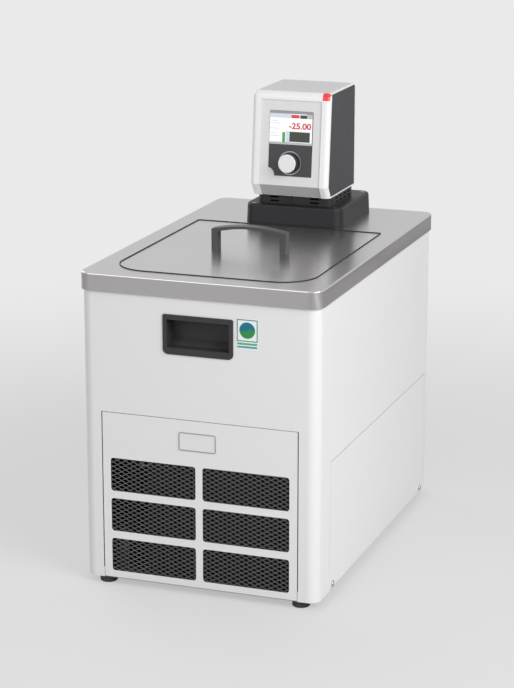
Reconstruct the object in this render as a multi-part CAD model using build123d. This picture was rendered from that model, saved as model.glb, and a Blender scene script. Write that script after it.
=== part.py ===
from build123d import *
import math
import os

# Bench heating and cooling circulator, in millimetres.
# X runs to the right as seen from the front, Y to the back and Z up.
# The origin is on the floor, under the middle of the stainless deck.

# Deck and lid
deck_width = 380.0
deck_depth = 600.0
deck_top = 487.5
deck_skirt = 26.5
deck_corner = 19.0
deck_edge = 2.0
deck_sheet = 1.2
lid_side_margin = 34.7
lid_front_margin = 36.5
lid_pedestal_gap = 4.5
lid_front_corner = 55.0
lid_back_corner = 3.0
lid_height = 7.0
lid_sheet = 1.2
lid_edge = 0.7
lid_gap = 1.4
bath_side_margin = 25.3
bath_end_margin = 10.5
bath_corner = 18.0
bridge_opening_width = 124.0
bridge_opening_length = 112.0
bridge_corner = 8.0

# Lid handle
handle_offset = 3.5
handle_forward = 6.0
handle_span = 122.0
handle_leg = 10.0
handle_depth = 17.0
handle_end_height = 33.0
handle_rise = 7.0
handle_strap = 4.0
handle_screw_radius = 4.0
handle_screw_head = 2.5
handle_edge = 2.0

# Case
overhang = 3.0
case_corner = 17.0
case_sheet = 1.2
foot_height = 11.0
foot_radius = 13.4
foot_edge = 1.0
foot_side_inset = 31.0
foot_end_inset = 17.0
pan_sheet = 1.5
pan_lip = 7.0
fit = 0.2
past = 1.0

# Pull-off grille panel at the front
grille_side_margin = 32.0
grille_top = 274.5
grille_bottom = 12.6
grille_return = 12.0
grille_side_gap = 1.6
grille_top_gap = 0.8
grille_tab_gap = 0.7
grille_tab_top = 27.0
window_side_border = 12.45
window_bar = 11.1
window_height = 52.3
window_pitch_z = 64.0
window_rows = 3
window_top_centre = 177.3
window_corner = 4.5
mesh_sheet = 1.0
mesh_border = 3.0
mesh_columns = 5
mesh_rows = 4
mesh_land_width = 6.4
mesh_land_height = 3.1
mesh_stagger = 3.4

# Side covers
cover_front_margin = 59.0
cover_back_margin = 27.0
cover_top = 214.0
cover_bottom = 12.6
cover_gap = 0.9
cover_return = 10.0
notch_width = 13.0
notch_height = 9.0
notch_corner = 3.9
notch_from_front = 15.0
notch_from_back = 15.0
cover_screw_radius = 4.2
cover_screw_head = 3.0

# Rear panel
rear_side_margin = 37.0
rear_top = 340.0
rear_bottom = 12.6
rear_gap = 0.6
rear_slot_side = 28.0
rear_slot_bar = 36.0
rear_slot_height = 6.0
rear_slot_pitch = 16.0
rear_slot_rows = 8
rear_slot_low = 190.0
rear_screw_radius = 3.5
rear_screw_head = 2.0
rear_screw_inset = 10.0

# Carrying grips, let into the front and the back
grip_width = 110.5
grip_height = 60.5
grip_z = 404.5
grip_flange = 1.5
grip_top_corner = 2.5
grip_bottom_corner = 8.0
grip_mouth_width = 98.0
grip_mouth_top = 22.5
grip_mouth_bottom = 20.0
grip_reach = 24.0
grip_wall = 2.0
grip_hook = 4.5
grip_hook_slant = 4.0
grip_low_slant = 9.0

# Bath tank and what is round it
tank_back_margin = 43.0
tank_depth = 200.0
tank_sheet = 1.0
tank_flange = 12.0
tank_fillet = 12.0
coil_radius = 4.0
coil_turns = 3
coil_pitch = 26.0
coil_low = 45.0
coil_stub = 12.0
coil_step = 14.0
coil_inlet_back = 90.0
coil_outlet_back = 237.0
coil_gap = 0.4
foam_side = 34.0
foam_clear = 0.5
foam_base = 22.0

# Refrigeration set in the base
compressor_side_room = 103.8
compressor_back_room = 145.8
compressor_radius = 72.0
compressor_height = 168.0
compressor_dome = 34.0
compressor_plate = 3.0
compressor_seam_step = 2.5
compressor_seam = 5.0
compressor_seam_up = 92.4
plate_border = 16.0
plate_corner = 14.0
terminal_width = 44.0
terminal_height = 44.0
terminal_out = 20.0
terminal_in = 14.0
terminal_up = 33.6
terminal_corner = 6.0
mount_radius = 11.0
mount_top_radius = 8.8
mount_height = 14.0
mount_spacing_x = 130.0
mount_spacing_y = 130.0
condenser_left_room = 93.8
condenser_right_room = 45.8
condenser_height = 182.0
condenser_depth = 34.0
condenser_front_room = 27.8
fin_count = 26
fin_groove = 3.0
fin_groove_depth = 4.0
fin_border = 8.0
tube_rows = 7
tube_radius = 4.0
shroud_sheet = 1.5
shroud_depth = 30.0
shroud_ring = 12.5
shroud_bore = 15.0
arm_width = 16.0
arm_sheet = 3.5
arm_reach = 21.0
fan_radius = 82.0
fan_gap = 3.0
fan_motor_gap = 10.0
fan_hub_radius = 26.0
fan_hub_depth = 20.0
fan_blades = 5
fan_blade_sheet = 1.8
fan_blade_chord = 26.0
fan_blade_root = 3.0
fan_blade_pitch = 32.0
fan_motor_radius = 30.0
fan_motor_length = 52.0
fan_motor_edge = 5.0
fan_shaft_reach = 40.0
fan_shaft_radius = 4.0
shaft_clearance = 0.05
drier_radius = 12.0
drier_length = 92.0
drier_edge = 5.4
drier_ahead = 188.0
liquid_line_room = 25.8
pipe_radius = 4.0
suction_radius = 5.0
capillary_radius = 3.0
discharge_ahead = 58.0
condenser_bend_room = 27.0
port_up = 120.96
capillary_run = 40.0
capillary_drop = 22.0
suction_out = 60.0
suction_drop = 26.0
wide_bend = 16.0
middle_bend = 12.0
tight_bend = 10.0

# Drain tap behind the grille panel
drain_side_inset = 47.0
drain_z = 58.0
drain_body_radius = 13.0
drain_pipe_radius = 7.0
drain_nozzle_radius = 6.0
drain_front_inset = 13.0
drain_wall = 2.0
drain_nozzle_length = 15.0
drain_boss = 4.0
drain_boss_wall = 3.0
drain_foot_width = 18.0
drain_foot_length = 14.0
drain_body_length = 34.0
drain_stem_radius = 4.0
drain_lever_length = 24.0
drain_lever_width = 14.0
drain_lever_sheet = 4.0
drain_lever_gap = 0.3
drain_pipe_wall = 1.5
drain_pipe_drop = 24.0
drain_pipe_bend = 14.0
drain_hole_side = 46.0
drain_hole_front = 38.0

# Electrics
suction_clear = 7.8
electrics_depth = 150.0
electrics_height = 118.0
electrics_gap = 8.0
electrics_corner = 4.0
electrics_lid = 12.0
electrics_groove = 1.0
inlet_from_edge = 38.0
inlet_z = 92.0
inlet_width = 28.0
inlet_height = 21.0
inlet_depth = 26.0
inlet_flange = 1.6
inlet_border = 4.0
inlet_corner = 3.0
inlet_wall = 2.0
inlet_floor = 6.0
inlet_pin_width = 2.0
inlet_pin_height = 4.0
inlet_pin_reach = 14.0
inlet_pin_spread = 7.0
inlet_pin_low = -3.0
inlet_pin_high = 4.0
switch_from_inlet = 46.0
switch_width = 22.0
switch_height = 30.0
switch_depth = 24.0
switch_border = 2.0
switch_corner = 1.5
switch_wall = 2.0
switch_floor = 6.0
rocker_pin_wall = 0.8
rocker_pin_gap = 0.3
rocker_end_gap = 1.2
rocker_back = 3.5
rocker_ends = 4.0
rocker_middle = 2.6
rocker_pin_radius = 1.5
rocker_depth = 4.5
rocker_gap = 0.4
rocker_throw = 16.0

# Pedestal, collar and immersion parts
head_offset = 4.0
pedestal_width = 166.0
pedestal_depth = 171.0
pedestal_back_margin = 17.0
pedestal_height = 33.0
pedestal_corner = 18.0
pedestal_taper = 1.6
pedestal_edge = 4.0
pedestal_wall = 3.0
pedestal_screw_radius = 4.0
pedestal_screw_inset = 13.0
pedestal_screw_head = 1.6
pedestal_screw_gap = 0.6
pedestal_screw_well = 2.0
pedestal_ledge = 5.0
collar_width = 128.0
collar_front_step = 12.0
collar_back_step = 45.0
collar_corner = 12.0
collar_wall = 3.0
collar_ledge = 10.0
collar_back_ledge = 14.0
collar_hole_corner = 6.0
collar_slot_width = 15.0
collar_slot_height = 2.6
collar_slot_x = 34.0
collar_slot_low = 5.25
collar_slot_high = 11.375
collar_slot_pitch = 21.0
collar_side_slots = 4
rib_width = 3.0
rib_offset = -6.0
rib_rise = 1.5
plate_sheet = 2.5
plate_margin = 8.0
pump_offset = 24.0
pump_back_step = 3.0
motor_radius = 24.0
motor_length = 84.0
motor_bore = 18.0
motor_edge = 4.0
motor_flange = 3.0
motor_flange_height = 4.0
pump_tube_radius = 17.0
pump_tube_wall = 1.5
pump_reach = 138.0
volute_radius = 26.0
volute_height = 26.0
volute_floor = 2.5
volute_inlet = 9.5
outlet_reach = 10.0
outlet_radius = 6.0
outlet_bore = 4.0
pump_shaft_radius = 4.0
pump_shaft_gap = 1.0
impeller_radius = 19.0
impeller_vanes = 6
impeller_sheet = 3.0
impeller_gap = 2.5
vane_sheet = 2.0
vane_height = 8.0
rotor_gap = 0.5
rotor_lift = 6.0
heater_radius = 4.0
heater_pitch = 12.5
heater_reach = 150.0
heater_loop = 80.0
heater_back_step = 33.0
heater_bend_gap = 0.25
heater_offset = -34.0
probe_offset = -30.0
probe_front_step = 21.0
probe_radius = 3.0
probe_reach = 120.0
probe_tip = 2.4
probe_nut_radius = 6.0
probe_nut_height = 6.0
float_offset = -8.0
float_front_step = 23.0
float_stem_radius = 3.0
float_reach = 72.0
float_radius = 10.0
float_length = 18.0
float_edge = 2.0
float_stop_radius = 7.0
float_stop = 2.0
float_collar = 5.0
hose_radius = 8.0
hose_length = 14.0
hose_hex = 3.0
hose_hex_border = 2.5
hose_root = 6.0
hose_bore = 5.0
hose_spacing = 76.0
hose_z = 14.0

# Control head
head_width = 131.0
face_offset = 1.2
head_bottom = 538.0
head_top = 706.5
head_front_step = 19.5
head_back_step = 44.0
head_chin = 19.0
head_chin_back = 13.0
head_lean = 15.0
head_wall = 3.0
head_side_wall = 5.0
head_brow = 10.0
head_edge = 8.0
head_chin_edge = 4.0
side_front_border = 8.5
side_top_border = 2.8
side_border = 2.0
side_sheet = 2.5
side_inset = 0.4
side_lip = 5.0
side_corner = 7.0
panel_width = 101.0
panel_top = 693.5
panel_recess = 1.6
panel_sheet = 2.0
screen_width = 73.0
screen_top = 676.6
screen_bottom = 572.8
screen_corner = 1.5
screen_glass = 1.6
screen_bite_radius = 12.2
screen_bite_x = -38.2
screen_bite_z = 573.6
lcd_bottom = 623.2
display_margin = 2.0
panel_brow_edge = 1.0
panel_chin_edge = 3.0
panel_step = 4.0
board_depth = 11.9
board_low_margin = 6.0
board_high_margin = 5.0
board_side_margin = 5.0
boss_radius = 2.5
boss_gap = 0.4
chip_size = 14.0
chip_height = 3.0
chip_pitch = 24.0
chip_up = 30.0
board_boss_x = 38.0
board_boss_out = 7.0
glass_depth = 1.3
knob_z = 594.0
knob_radius = 14.6
knob_height = 12.0
knob_cap_sheet = 1.6
knob_edge = 0.8
knob_gap = 2.2
knob_bore = 8.0
ring_radius = 19.0
ring_width = 1.4
ring_height = 0.6
push_travel = 1.5
spindle_radius = 3.0
spindle_gap = 0.4
spindle_room = 1.3
spindle_end_gap = 0.3
encoder_size = 14.0
encoder_depth = 9.0
insert_width = 11.5
insert_side = 1.5
insert_rise = 2.0
insert_sheet = 1.2
rear_cover_sheet = 3.0
rear_cover_inset = 0.5
rear_vent_rows = 6
rear_vent_first = 22.0
rear_vent_pitch = 11.0
rear_vent_height = 4.0
rear_vent_bar = 14.0
rear_vent_side = 7.0
board_sheet = 1.6

# Sizes that follow from the ones above
BASE = (Align.CENTER, Align.CENTER, Align.MIN)
case_x = deck_width / 2 - overhang
case_y = deck_depth / 2 - overhang
case_bottom = foot_height
case_top = deck_top - deck_sheet
inner_x = case_x - case_sheet
inner_y = case_y - case_sheet
pan_top = case_bottom + pan_sheet
foot_x = case_x - foot_side_inset
foot_y = case_y - foot_end_inset

pedestal_back = deck_depth / 2 - pedestal_back_margin
pedestal_front = pedestal_back - pedestal_depth
pedestal_top = deck_top + pedestal_height
pedestal_middle_y = (pedestal_front + pedestal_back) / 2
collar_front = pedestal_front + collar_front_step
collar_back = pedestal_back - collar_back_step
collar_middle_y = (collar_front + collar_back) / 2
pump_x = head_offset + pump_offset
pump_y = collar_middle_y + pump_back_step
heater_x = head_offset + heater_offset
heater_y = collar_middle_y + heater_back_step
probe_x = head_offset + probe_offset
probe_y = collar_middle_y - probe_front_step
float_x = head_offset + float_offset
float_y = collar_middle_y - float_front_step
head_front = pedestal_front - head_front_step
head_back = pedestal_back - head_back_step
head_right = head_offset + head_width / 2
face_x = head_offset + face_offset

lid_width = deck_width - 2 * lid_side_margin
lid_front = -deck_depth / 2 + lid_front_margin
lid_back = pedestal_front - lid_pedestal_gap
lid_middle_y = (lid_front + lid_back) / 2
handle_y = lid_middle_y - handle_forward
ledge_top = deck_top - lid_height
ledge_under = ledge_top - deck_sheet

bath_width = lid_width - 2 * bath_side_margin
tank_front = lid_front + bath_end_margin
tank_back = deck_depth / 2 - tank_back_margin
tank_bottom = ledge_under - tank_depth
coil_outlet_y = tank_back - coil_outlet_back
drain_tank_x = -bath_width / 2 + drain_hole_side
drain_tank_y = tank_front + drain_hole_front
drain_x = -case_x + drain_side_inset
drain_front = -case_y + drain_front_inset

grille_width = 2 * (case_x - grille_side_margin)
window_width = (grille_width - 2 * window_side_border - window_bar) / 2
window_x = (window_width + window_bar) / 2
window_levels = [window_top_centre - i * window_pitch_z for i in range(window_rows)]
cover_front = -case_y + cover_front_margin
cover_back = case_y - cover_back_margin
rear_width = 2 * (case_x - rear_side_margin)
rear_slot_width = (rear_width - 2 * rear_slot_side - rear_slot_bar) / 2
rear_slot_x = (rear_slot_width + rear_slot_bar) / 2
inlet_x = -rear_width / 2 + inlet_from_edge
switch_x = inlet_x + switch_from_inlet

compressor_x = inner_x - compressor_side_room
compressor_y = inner_y - compressor_back_room
shell_front = compressor_y - compressor_radius
shell_left = compressor_x - compressor_radius
suction_x = shell_left - suction_out
port_z = pan_top + mount_height + port_up
discharge_y = shell_front - discharge_ahead
drier_front = shell_front - drier_ahead
liquid_line_x = inner_x - liquid_line_room
condenser_left = -inner_x + condenser_left_room
condenser_right = inner_x - condenser_right_room
condenser_x = (condenser_left + condenser_right) / 2
condenser_width = condenser_right - condenser_left
condenser_front = -inner_y + condenser_front_room
condenser_back = condenser_front + condenser_depth
shroud_back = condenser_back + shroud_depth
fan_z = pan_top + condenser_height / 2
fan_motor_y = shroud_back + shroud_ring

nodes = {}


def box(x0, x1, y0, y1, z0, z1):
    """Box between two corners."""
    return Pos((x0 + x1) / 2, (y0 + y1) / 2, (z0 + z1) / 2) * Box(x1 - x0, y1 - y0, z1 - z0)


def rounded_box(x0, x1, y0, y1, z0, z1, corner):
    """Upright box with rounded corners in plan."""
    outline = Pos((x0 + x1) / 2, (y0 + y1) / 2, z0) * RectangleRounded(x1 - x0, y1 - y0, corner)
    return extrude(outline, z1 - z0)


def rod(start, direction, length, radius):
    """Round bar from a point along a direction."""
    return Plane(origin=start, z_dir=direction) * Cylinder(radius, length, align=BASE)


def facing_front(x, y, z):
    """Plane that looks out of the front, its own Y upwards."""
    return Plane(origin=(x, y, z), x_dir=(1, 0, 0), z_dir=(0, -1, 0))


def facing_back(x, y, z):
    """Plane that looks out of the back, its own Y upwards."""
    return Plane(origin=(x, y, z), x_dir=(-1, 0, 0), z_dir=(0, 1, 0))


def facing_side(side, x, y, z):
    """Plane that looks out of the right (1) or the left (-1), its own Y upwards."""
    return Plane(origin=(x, y, z), x_dir=(0, side, 0), z_dir=(side, 0, 0))


def slab(plane, width, height, depth, corner=0.0):
    """Plate with its outer face on the plane and its thickness behind it."""
    outline = RectangleRounded(width, height, corner) if corner > 0 else Rectangle(width, height)
    return extrude(plane * outline, -depth)


def cutter(plane, width, height, depth, corner=0.0):
    """Block through the plane, a little in front of it and some depth behind."""
    outline = RectangleRounded(width, height, corner) if corner > 0 else Rectangle(width, height)
    return extrude(plane * outline, -depth) + extrude(plane * outline, 2 * fit + grip_flange)


def tube(points, bend, radius):
    """Round pipe through points, its corners rounded."""
    path = FilletPolyline(*points, radius=bend)
    return sweep(Plane(origin=path @ 0, z_dir=path % 0) * Circle(radius), path=path)


def screw_head(plane, radius, height):
    """Low round screw head standing on a plane, with a hexagon recess."""
    head = plane * Cylinder(radius, height, align=BASE)
    head = fillet(head.edges().group_by(Axis(plane.origin, plane.z_dir))[-1], height * 0.45)
    recess = plane.offset(height * 0.4) * extrude(RegularPolygon(radius * 0.42, 6), height)
    return head - recess


def make_feet():
    """Four round rubber feet under the floor pan."""
    feet = []
    for x in (-foot_x, foot_x):
        for y in (-foot_y, foot_y):
            foot = Pos(x, y, 0) * Cylinder(foot_radius, foot_height, align=BASE)
            feet.append(chamfer(foot.edges().group_by(Axis.Z)[0], foot_edge))
    return Compound(children=feet)


def make_base_pan():
    """Folded floor pan that carries the refrigeration set."""
    x = inner_x - fit
    y = inner_y - fit
    corner = case_corner - case_sheet - fit
    pan = rounded_box(-x, x, -y, y, case_bottom, pan_top + pan_lip, corner)
    pan -= rounded_box(-x + pan_sheet, x - pan_sheet, -y + pan_sheet, y - pan_sheet,
                       pan_top, pan_top + pan_lip + past, corner - pan_sheet)
    return pan


def make_case_wrap():
    """White sheet-metal wrap with the openings for its covers, grips and vents."""
    wrap = rounded_box(-case_x, case_x, -case_y, case_y, case_bottom, case_top, case_corner)
    wrap -= rounded_box(-inner_x, inner_x, -inner_y, inner_y, case_bottom - past, case_top + past,
                        case_corner - case_sheet)
    front = -case_y - past
    half = grille_width / 2
    wrap -= box(-half - grille_side_gap, half + grille_side_gap, front, -inner_y + past,
                grille_tab_top, grille_top + grille_top_gap)
    wrap -= box(-half - grille_tab_gap, half + grille_tab_gap, front, -inner_y + past,
                case_bottom - past, grille_tab_top)
    for side in (-1, 1):
        outer = side * (case_x + past)
        inner = side * (inner_x - past)
        wrap -= box(min(outer, inner), max(outer, inner), cover_front - cover_gap,
                    cover_back + cover_gap, case_bottom - past, cover_top + cover_gap)
    half = rear_width / 2 + rear_gap
    wrap -= box(-half, half, inner_y - past, case_y + past, case_bottom - past, rear_top + rear_gap)
    hole_width = grip_mouth_width + 2 * (grip_wall + fit)
    hole_top = grip_mouth_top + grip_hook + grip_wall + fit
    hole_bottom = grip_mouth_bottom + grip_wall + fit
    hole_height = hole_top + hole_bottom
    hole_z = grip_z + (hole_top - hole_bottom) / 2
    wrap -= cutter(facing_front(0, -case_y, hole_z), hole_width, hole_height, 2 * case_sheet)
    wrap -= cutter(facing_back(0, case_y, hole_z), hole_width, hole_height, 2 * case_sheet)
    return wrap


def make_grille_panel():
    """Front panel with six windows and folded returns."""
    middle = (grille_top + grille_bottom) / 2
    height = grille_top - grille_bottom
    panel = slab(facing_front(0, -case_y, middle), grille_width, height, case_sheet)
    half = grille_width / 2
    back = -case_y + grille_return
    for x in (-half, half - case_sheet):
        panel += box(x, x + case_sheet, -inner_y - case_sheet, back, grille_tab_top, grille_top)
    panel += box(-half, half, -inner_y - case_sheet, back, grille_top - case_sheet, grille_top)
    for x in (-window_x, window_x):
        for z in window_levels:
            panel -= cutter(facing_front(x, -case_y, z), window_width, window_height,
                            2 * case_sheet, window_corner)
    return panel


def make_expanded_mesh():
    """Expanded metal sheet behind the six windows, with coarse diamond gaps."""
    width = 2 * window_x + window_width + 2 * mesh_border
    low = window_levels[-1] - window_height / 2 - mesh_border
    high = window_levels[0] + window_height / 2 + mesh_border
    plane = facing_front(0, -inner_y, (low + high) / 2)
    step_x = window_width / mesh_columns
    step_z = window_height / mesh_rows
    gap_width = step_x - mesh_land_width
    gap_height = step_z - mesh_land_height
    diamond = Polygon((gap_width / 2, 0), (0, gap_height / 2), (-gap_width / 2, 0),
                      (0, -gap_height / 2))
    gaps = []
    for x in (-window_x, window_x):
        for z in window_levels:
            for row in range(mesh_rows):
                shift = mesh_stagger if row % 2 else -mesh_stagger
                for column in range(mesh_columns):
                    gap_x = x + (column - (mesh_columns - 1) / 2) * step_x + shift
                    gap_z = z + (row - (mesh_rows - 1) / 2) * step_z - (low + high) / 2
                    gaps.append(Pos(gap_x, gap_z) * diamond)
    return extrude(plane * (Rectangle(width, high - low) - gaps), -mesh_sheet)


def make_side_cover(side):
    """Lower side cover with folded returns and two screw notches."""
    middle_y = (cover_front + cover_back) / 2
    middle_z = (cover_top + cover_bottom) / 2
    length = cover_back - cover_front
    plane = facing_side(side, side * case_x, middle_y, middle_z)
    cover = slab(plane, length, cover_top - cover_bottom, case_sheet)
    inside = side * (case_x - cover_return)
    outside = side * (case_x - case_sheet / 2)
    low, high = min(inside, outside), max(inside, outside)
    lip_top = pan_top + pan_lip + 2 * fit
    cover += box(low, high, cover_front, cover_front + case_sheet, lip_top, cover_top)
    cover += box(low, high, cover_back - case_sheet, cover_back, lip_top, cover_top)
    cover += box(low, high, cover_front, cover_back, cover_top - case_sheet, cover_top)
    for y in (cover_front + notch_from_front, cover_back - notch_from_back):
        notch = facing_side(side, side * case_x, y, cover_bottom)
        cover -= cutter(notch, notch_width, 2 * notch_height, 2 * case_sheet, notch_corner)
    return cover


def make_rear_panel():
    """Rear panel with louvre slots and the cut-outs for inlet and switch."""
    middle = (rear_top + rear_bottom) / 2
    panel = slab(facing_back(0, case_y, middle), rear_width, rear_top - rear_bottom, case_sheet)
    for row in range(rear_slot_rows):
        z = rear_slot_low + row * rear_slot_pitch
        for x in (-rear_slot_x, rear_slot_x):
            panel -= cutter(facing_back(x, case_y, z), rear_slot_width, rear_slot_height,
                            2 * case_sheet, rear_slot_height * 0.49)
    panel -= cutter(facing_back(inlet_x, case_y, inlet_z), inlet_width + 2 * fit,
                    inlet_height + 2 * fit, 2 * case_sheet)
    panel -= cutter(facing_back(switch_x, case_y, inlet_z), switch_width + 2 * fit,
                    switch_height + 2 * fit, 2 * case_sheet)
    return panel


def make_case_screws():
    """Round-head screws of the side covers, in their notches, and of the rear panel."""
    screws = []
    for side in (-1, 1):
        for y in (cover_front + notch_from_front, cover_back - notch_from_back):
            plane = facing_side(side, side * (inner_x - fit), y, pan_top + cover_screw_radius)
            screws.append(screw_head(plane, cover_screw_radius, cover_screw_head))
    for x in (-rear_width / 2 + rear_screw_inset, 0, rear_width / 2 - rear_screw_inset):
        for z in (rear_bottom + 2 * rear_screw_inset, rear_top - rear_screw_inset):
            screws.append(screw_head(facing_back(x, case_y, z), rear_screw_radius, rear_screw_head))
    return Compound(children=screws)


def grip_profile(grow):
    """Side view of the finger recess: depth inwards as X, height as Y."""
    top = grip_mouth_top + grow
    low = grip_mouth_bottom + grow
    reach = grip_reach + grow
    mouth = -past if grow == 0 else 0.0
    points = [
        (mouth - grip_flange, top), (grip_wall, top), (grip_wall, top + grip_hook),
        (reach - grip_hook_slant, top + grip_hook), (reach, top), (reach, -low + grip_low_slant),
        (reach - grip_low_slant, -low),
        (mouth - grip_flange, -low),
    ]
    return Polygon(*points, align=None)


def make_grip(side):
    """Moulded carrying grip; side -1 is the front and 1 the back."""
    plane = Plane(origin=(0, side * case_y, grip_z), x_dir=(0, -side, 0), z_dir=(-side, 0, 0))
    outer_width = grip_mouth_width + 2 * grip_wall
    flange_plane = facing_front(0, -case_y - grip_flange, grip_z)
    if side > 0:
        flange_plane = facing_back(0, case_y + grip_flange, grip_z)
    flange = slab(flange_plane, grip_width, grip_height, grip_flange)
    upright = flange.edges().filter_by(Axis.Y)
    flange = fillet(upright.group_by(Axis.Z)[-1], grip_top_corner)
    flange = fillet(flange.edges().filter_by(Axis.Y).group_by(Axis.Z)[0], grip_bottom_corner)
    cup = extrude(plane * grip_profile(grip_wall), outer_width / 2, both=True)
    cup &= box(-outer_width, outer_width, -case_y, case_y, 0, deck_top)
    cavity = extrude(plane * grip_profile(0.0), grip_mouth_width / 2, both=True)
    return flange + cup - cavity


def make_top_deck():
    """Stainless deck: skirt all round, recess for the lid and opening for the bath."""
    x = deck_width / 2
    y = deck_depth / 2
    deck = rounded_box(-x, x, -y, y, deck_top - deck_skirt, deck_top, deck_corner)
    deck = fillet(deck.edges().group_by(Axis.Z)[-1], deck_edge)
    deck -= rounded_box(-x + deck_sheet, x - deck_sheet, -y + deck_sheet, y - deck_sheet,
                        deck_top - deck_skirt - past, deck_top - deck_sheet,
                        deck_corner - deck_sheet)
    deck += lid_outline(lid_gap + deck_sheet, ledge_under, deck_top - deck_sheet / 2)
    deck -= lid_outline(lid_gap, ledge_top, deck_top + past)
    deck -= rounded_box(-bath_width / 2, bath_width / 2, tank_front, lid_back - bath_end_margin,
                        ledge_under - past, deck_top, bath_corner)
    deck -= rounded_box(head_offset - bridge_opening_width / 2,
                        head_offset + bridge_opening_width / 2,
                        collar_middle_y - bridge_opening_length / 2,
                        collar_middle_y + bridge_opening_length / 2,
                        ledge_under - past, deck_top + past, bridge_corner)
    return deck


def lid_outline(grow, low, high):
    """Lid's plan shape, grown on every side, between two heights."""
    block = box(-lid_width / 2 - grow, lid_width / 2 + grow, lid_front - grow, lid_back + grow,
                low, high)
    corners = block.edges().filter_by(Axis.Z)
    block = fillet(corners.group_by(Axis.Y)[0], lid_front_corner + grow)
    return fillet(block.edges().filter_by(Axis.Z).group_by(Axis.Y)[-1], lid_back_corner + grow)


def make_lid():
    """Lid of folded stainless sheet, lying in the deck's recess."""
    lid = lid_outline(0, ledge_top, deck_top)
    lid = fillet(lid.edges().group_by(Axis.Z)[-1], lid_edge)
    return lid - lid_outline(-lid_sheet, ledge_top - past, deck_top - lid_sheet)


def make_lid_handle():
    """Bow handle: two legs under a strap that rises to the middle."""
    half = handle_span / 2
    end = handle_end_height
    rise = end + handle_rise
    outer = Polyline((-half, 0), (-half, end)) + ThreePointArc((-half, end), (0, rise), (half, end))
    outer += Polyline((half, end), (half, 0), (half - handle_leg, 0),
                      (half - handle_leg, end - handle_strap))
    outer += ThreePointArc((half - handle_leg, end - handle_strap), (0, rise - handle_strap),
                           (-half + handle_leg, end - handle_strap))
    outer += Polyline((-half + handle_leg, end - handle_strap), (-half + handle_leg, 0), (-half, 0))
    plane = facing_front(handle_offset, handle_y, deck_top)
    handle = extrude(plane * make_face(outer), handle_depth / 2, both=True)
    ends = handle.edges().filter_by(Axis.Z).filter_by(
        lambda edge: abs(abs(edge.center().X - handle_offset) - half) < 0.01)
    return fillet(ends, handle_edge)


def make_lid_handle_screws():
    """Two screws under the lid, one up into each leg of the handle."""
    screws = []
    for side in (-1, 1):
        x = handle_offset + side * (handle_span - handle_leg) / 2
        plane = Plane(origin=(x, handle_y, deck_top - lid_sheet), z_dir=(0, 0, -1))
        screws.append(screw_head(plane, handle_screw_radius, handle_screw_head))
    return Compound(children=screws)


def make_bath_tank():
    """Deep-drawn bath tank with a rim flange and a drain hole."""
    half = bath_width / 2
    tank = rounded_box(-half - tank_sheet, half + tank_sheet, tank_front - tank_sheet,
                       tank_back + tank_sheet, tank_bottom - tank_sheet, ledge_under,
                       bath_corner + tank_sheet)
    tank = fillet(tank.edges().group_by(Axis.Z)[0], tank_fillet + tank_sheet)
    tank += rounded_box(-half - tank_flange, half + tank_flange, tank_front - tank_flange,
                        tank_back + tank_flange, ledge_under - tank_sheet, ledge_under,
                        bath_corner + tank_flange)
    space = rounded_box(-half, half, tank_front, tank_back, tank_bottom, ledge_under + past,
                        bath_corner)
    tank -= fillet(space.edges().group_by(Axis.Z)[0], tank_fillet)
    return tank - rod((drain_tank_x, drain_tank_y, tank_bottom - tank_sheet - past), (0, 0, 1),
                      tank_sheet + 2 * past, drain_pipe_radius - drain_pipe_wall)


def coil_reach():
    """Distance from the bath's inner wall to the axis of the coil round it."""
    return tank_sheet + coil_gap + coil_radius


def coil_ends():
    """Places under the foam where the coil's inlet and outlet come out."""
    reach = coil_reach()
    x = bath_width / 2 + reach
    low = tank_bottom - tank_sheet - foam_base - coil_stub
    inlet = (x, tank_back + reach - coil_inlet_back, low)
    outlet = (-x - coil_step, coil_outlet_y, low)
    return inlet, outlet


def make_evaporator_coil():
    """Cooling coil wound round the tank, both ends brought down through the foam."""
    reach = coil_reach()
    x = bath_width / 2 + reach
    front = tank_front - reach
    back = tank_back + reach
    low = tank_bottom + coil_low
    inlet, outlet = coil_ends()
    points = [inlet, (inlet[0], inlet[1], low)]
    for turn in range(coil_turns):
        z = low + turn * coil_pitch
        points += [(x, back, z), (-x, back, z), (-x, front, z), (x, front, z)]
    z = low + coil_turns * coil_pitch
    points += [(x, back, z), (-x, back, z), (-x, coil_outlet_y, z), (outlet[0], coil_outlet_y, z), outlet]
    corner = bath_corner + reach
    small = coil_step / 2 - coil_gap
    bends = [small] + [corner] * (4 * coil_turns + 2) + [small] * 2
    return tube(points, bends, coil_radius)


def make_tank_insulation():
    """Foam jacket round the tank and its coil."""
    reach = tank_sheet + 2 * coil_gap + 2 * coil_radius
    half = bath_width / 2 + reach
    low = tank_bottom - tank_sheet - foam_base
    high = ledge_under - tank_sheet - fit
    end = case_y - grip_reach - grip_wall - foam_clear
    foam = rounded_box(-half - foam_side, half + foam_side, -end, end, low, high, bath_corner)
    foam -= rounded_box(-half, half, tank_front - reach, tank_back + reach,
                        tank_bottom - tank_sheet, high + past, bath_corner)
    foam -= rod((drain_tank_x, drain_tank_y, low - past), (0, 0, 1), foam_base + 2 * past,
                drain_pipe_radius + fit)
    inlet, outlet = coil_ends()
    riser = coil_radius + fit
    foam -= rod((inlet[0], inlet[1], low - past), (0, 0, 1), foam_base + 2 * past, riser)
    top = tank_bottom + coil_low + coil_turns * coil_pitch + coil_radius + fit
    foam -= box(outlet[0] - riser, -half + past, outlet[1] - riser, outlet[1] + riser + coil_step,
                low - past, top)
    return foam


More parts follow.
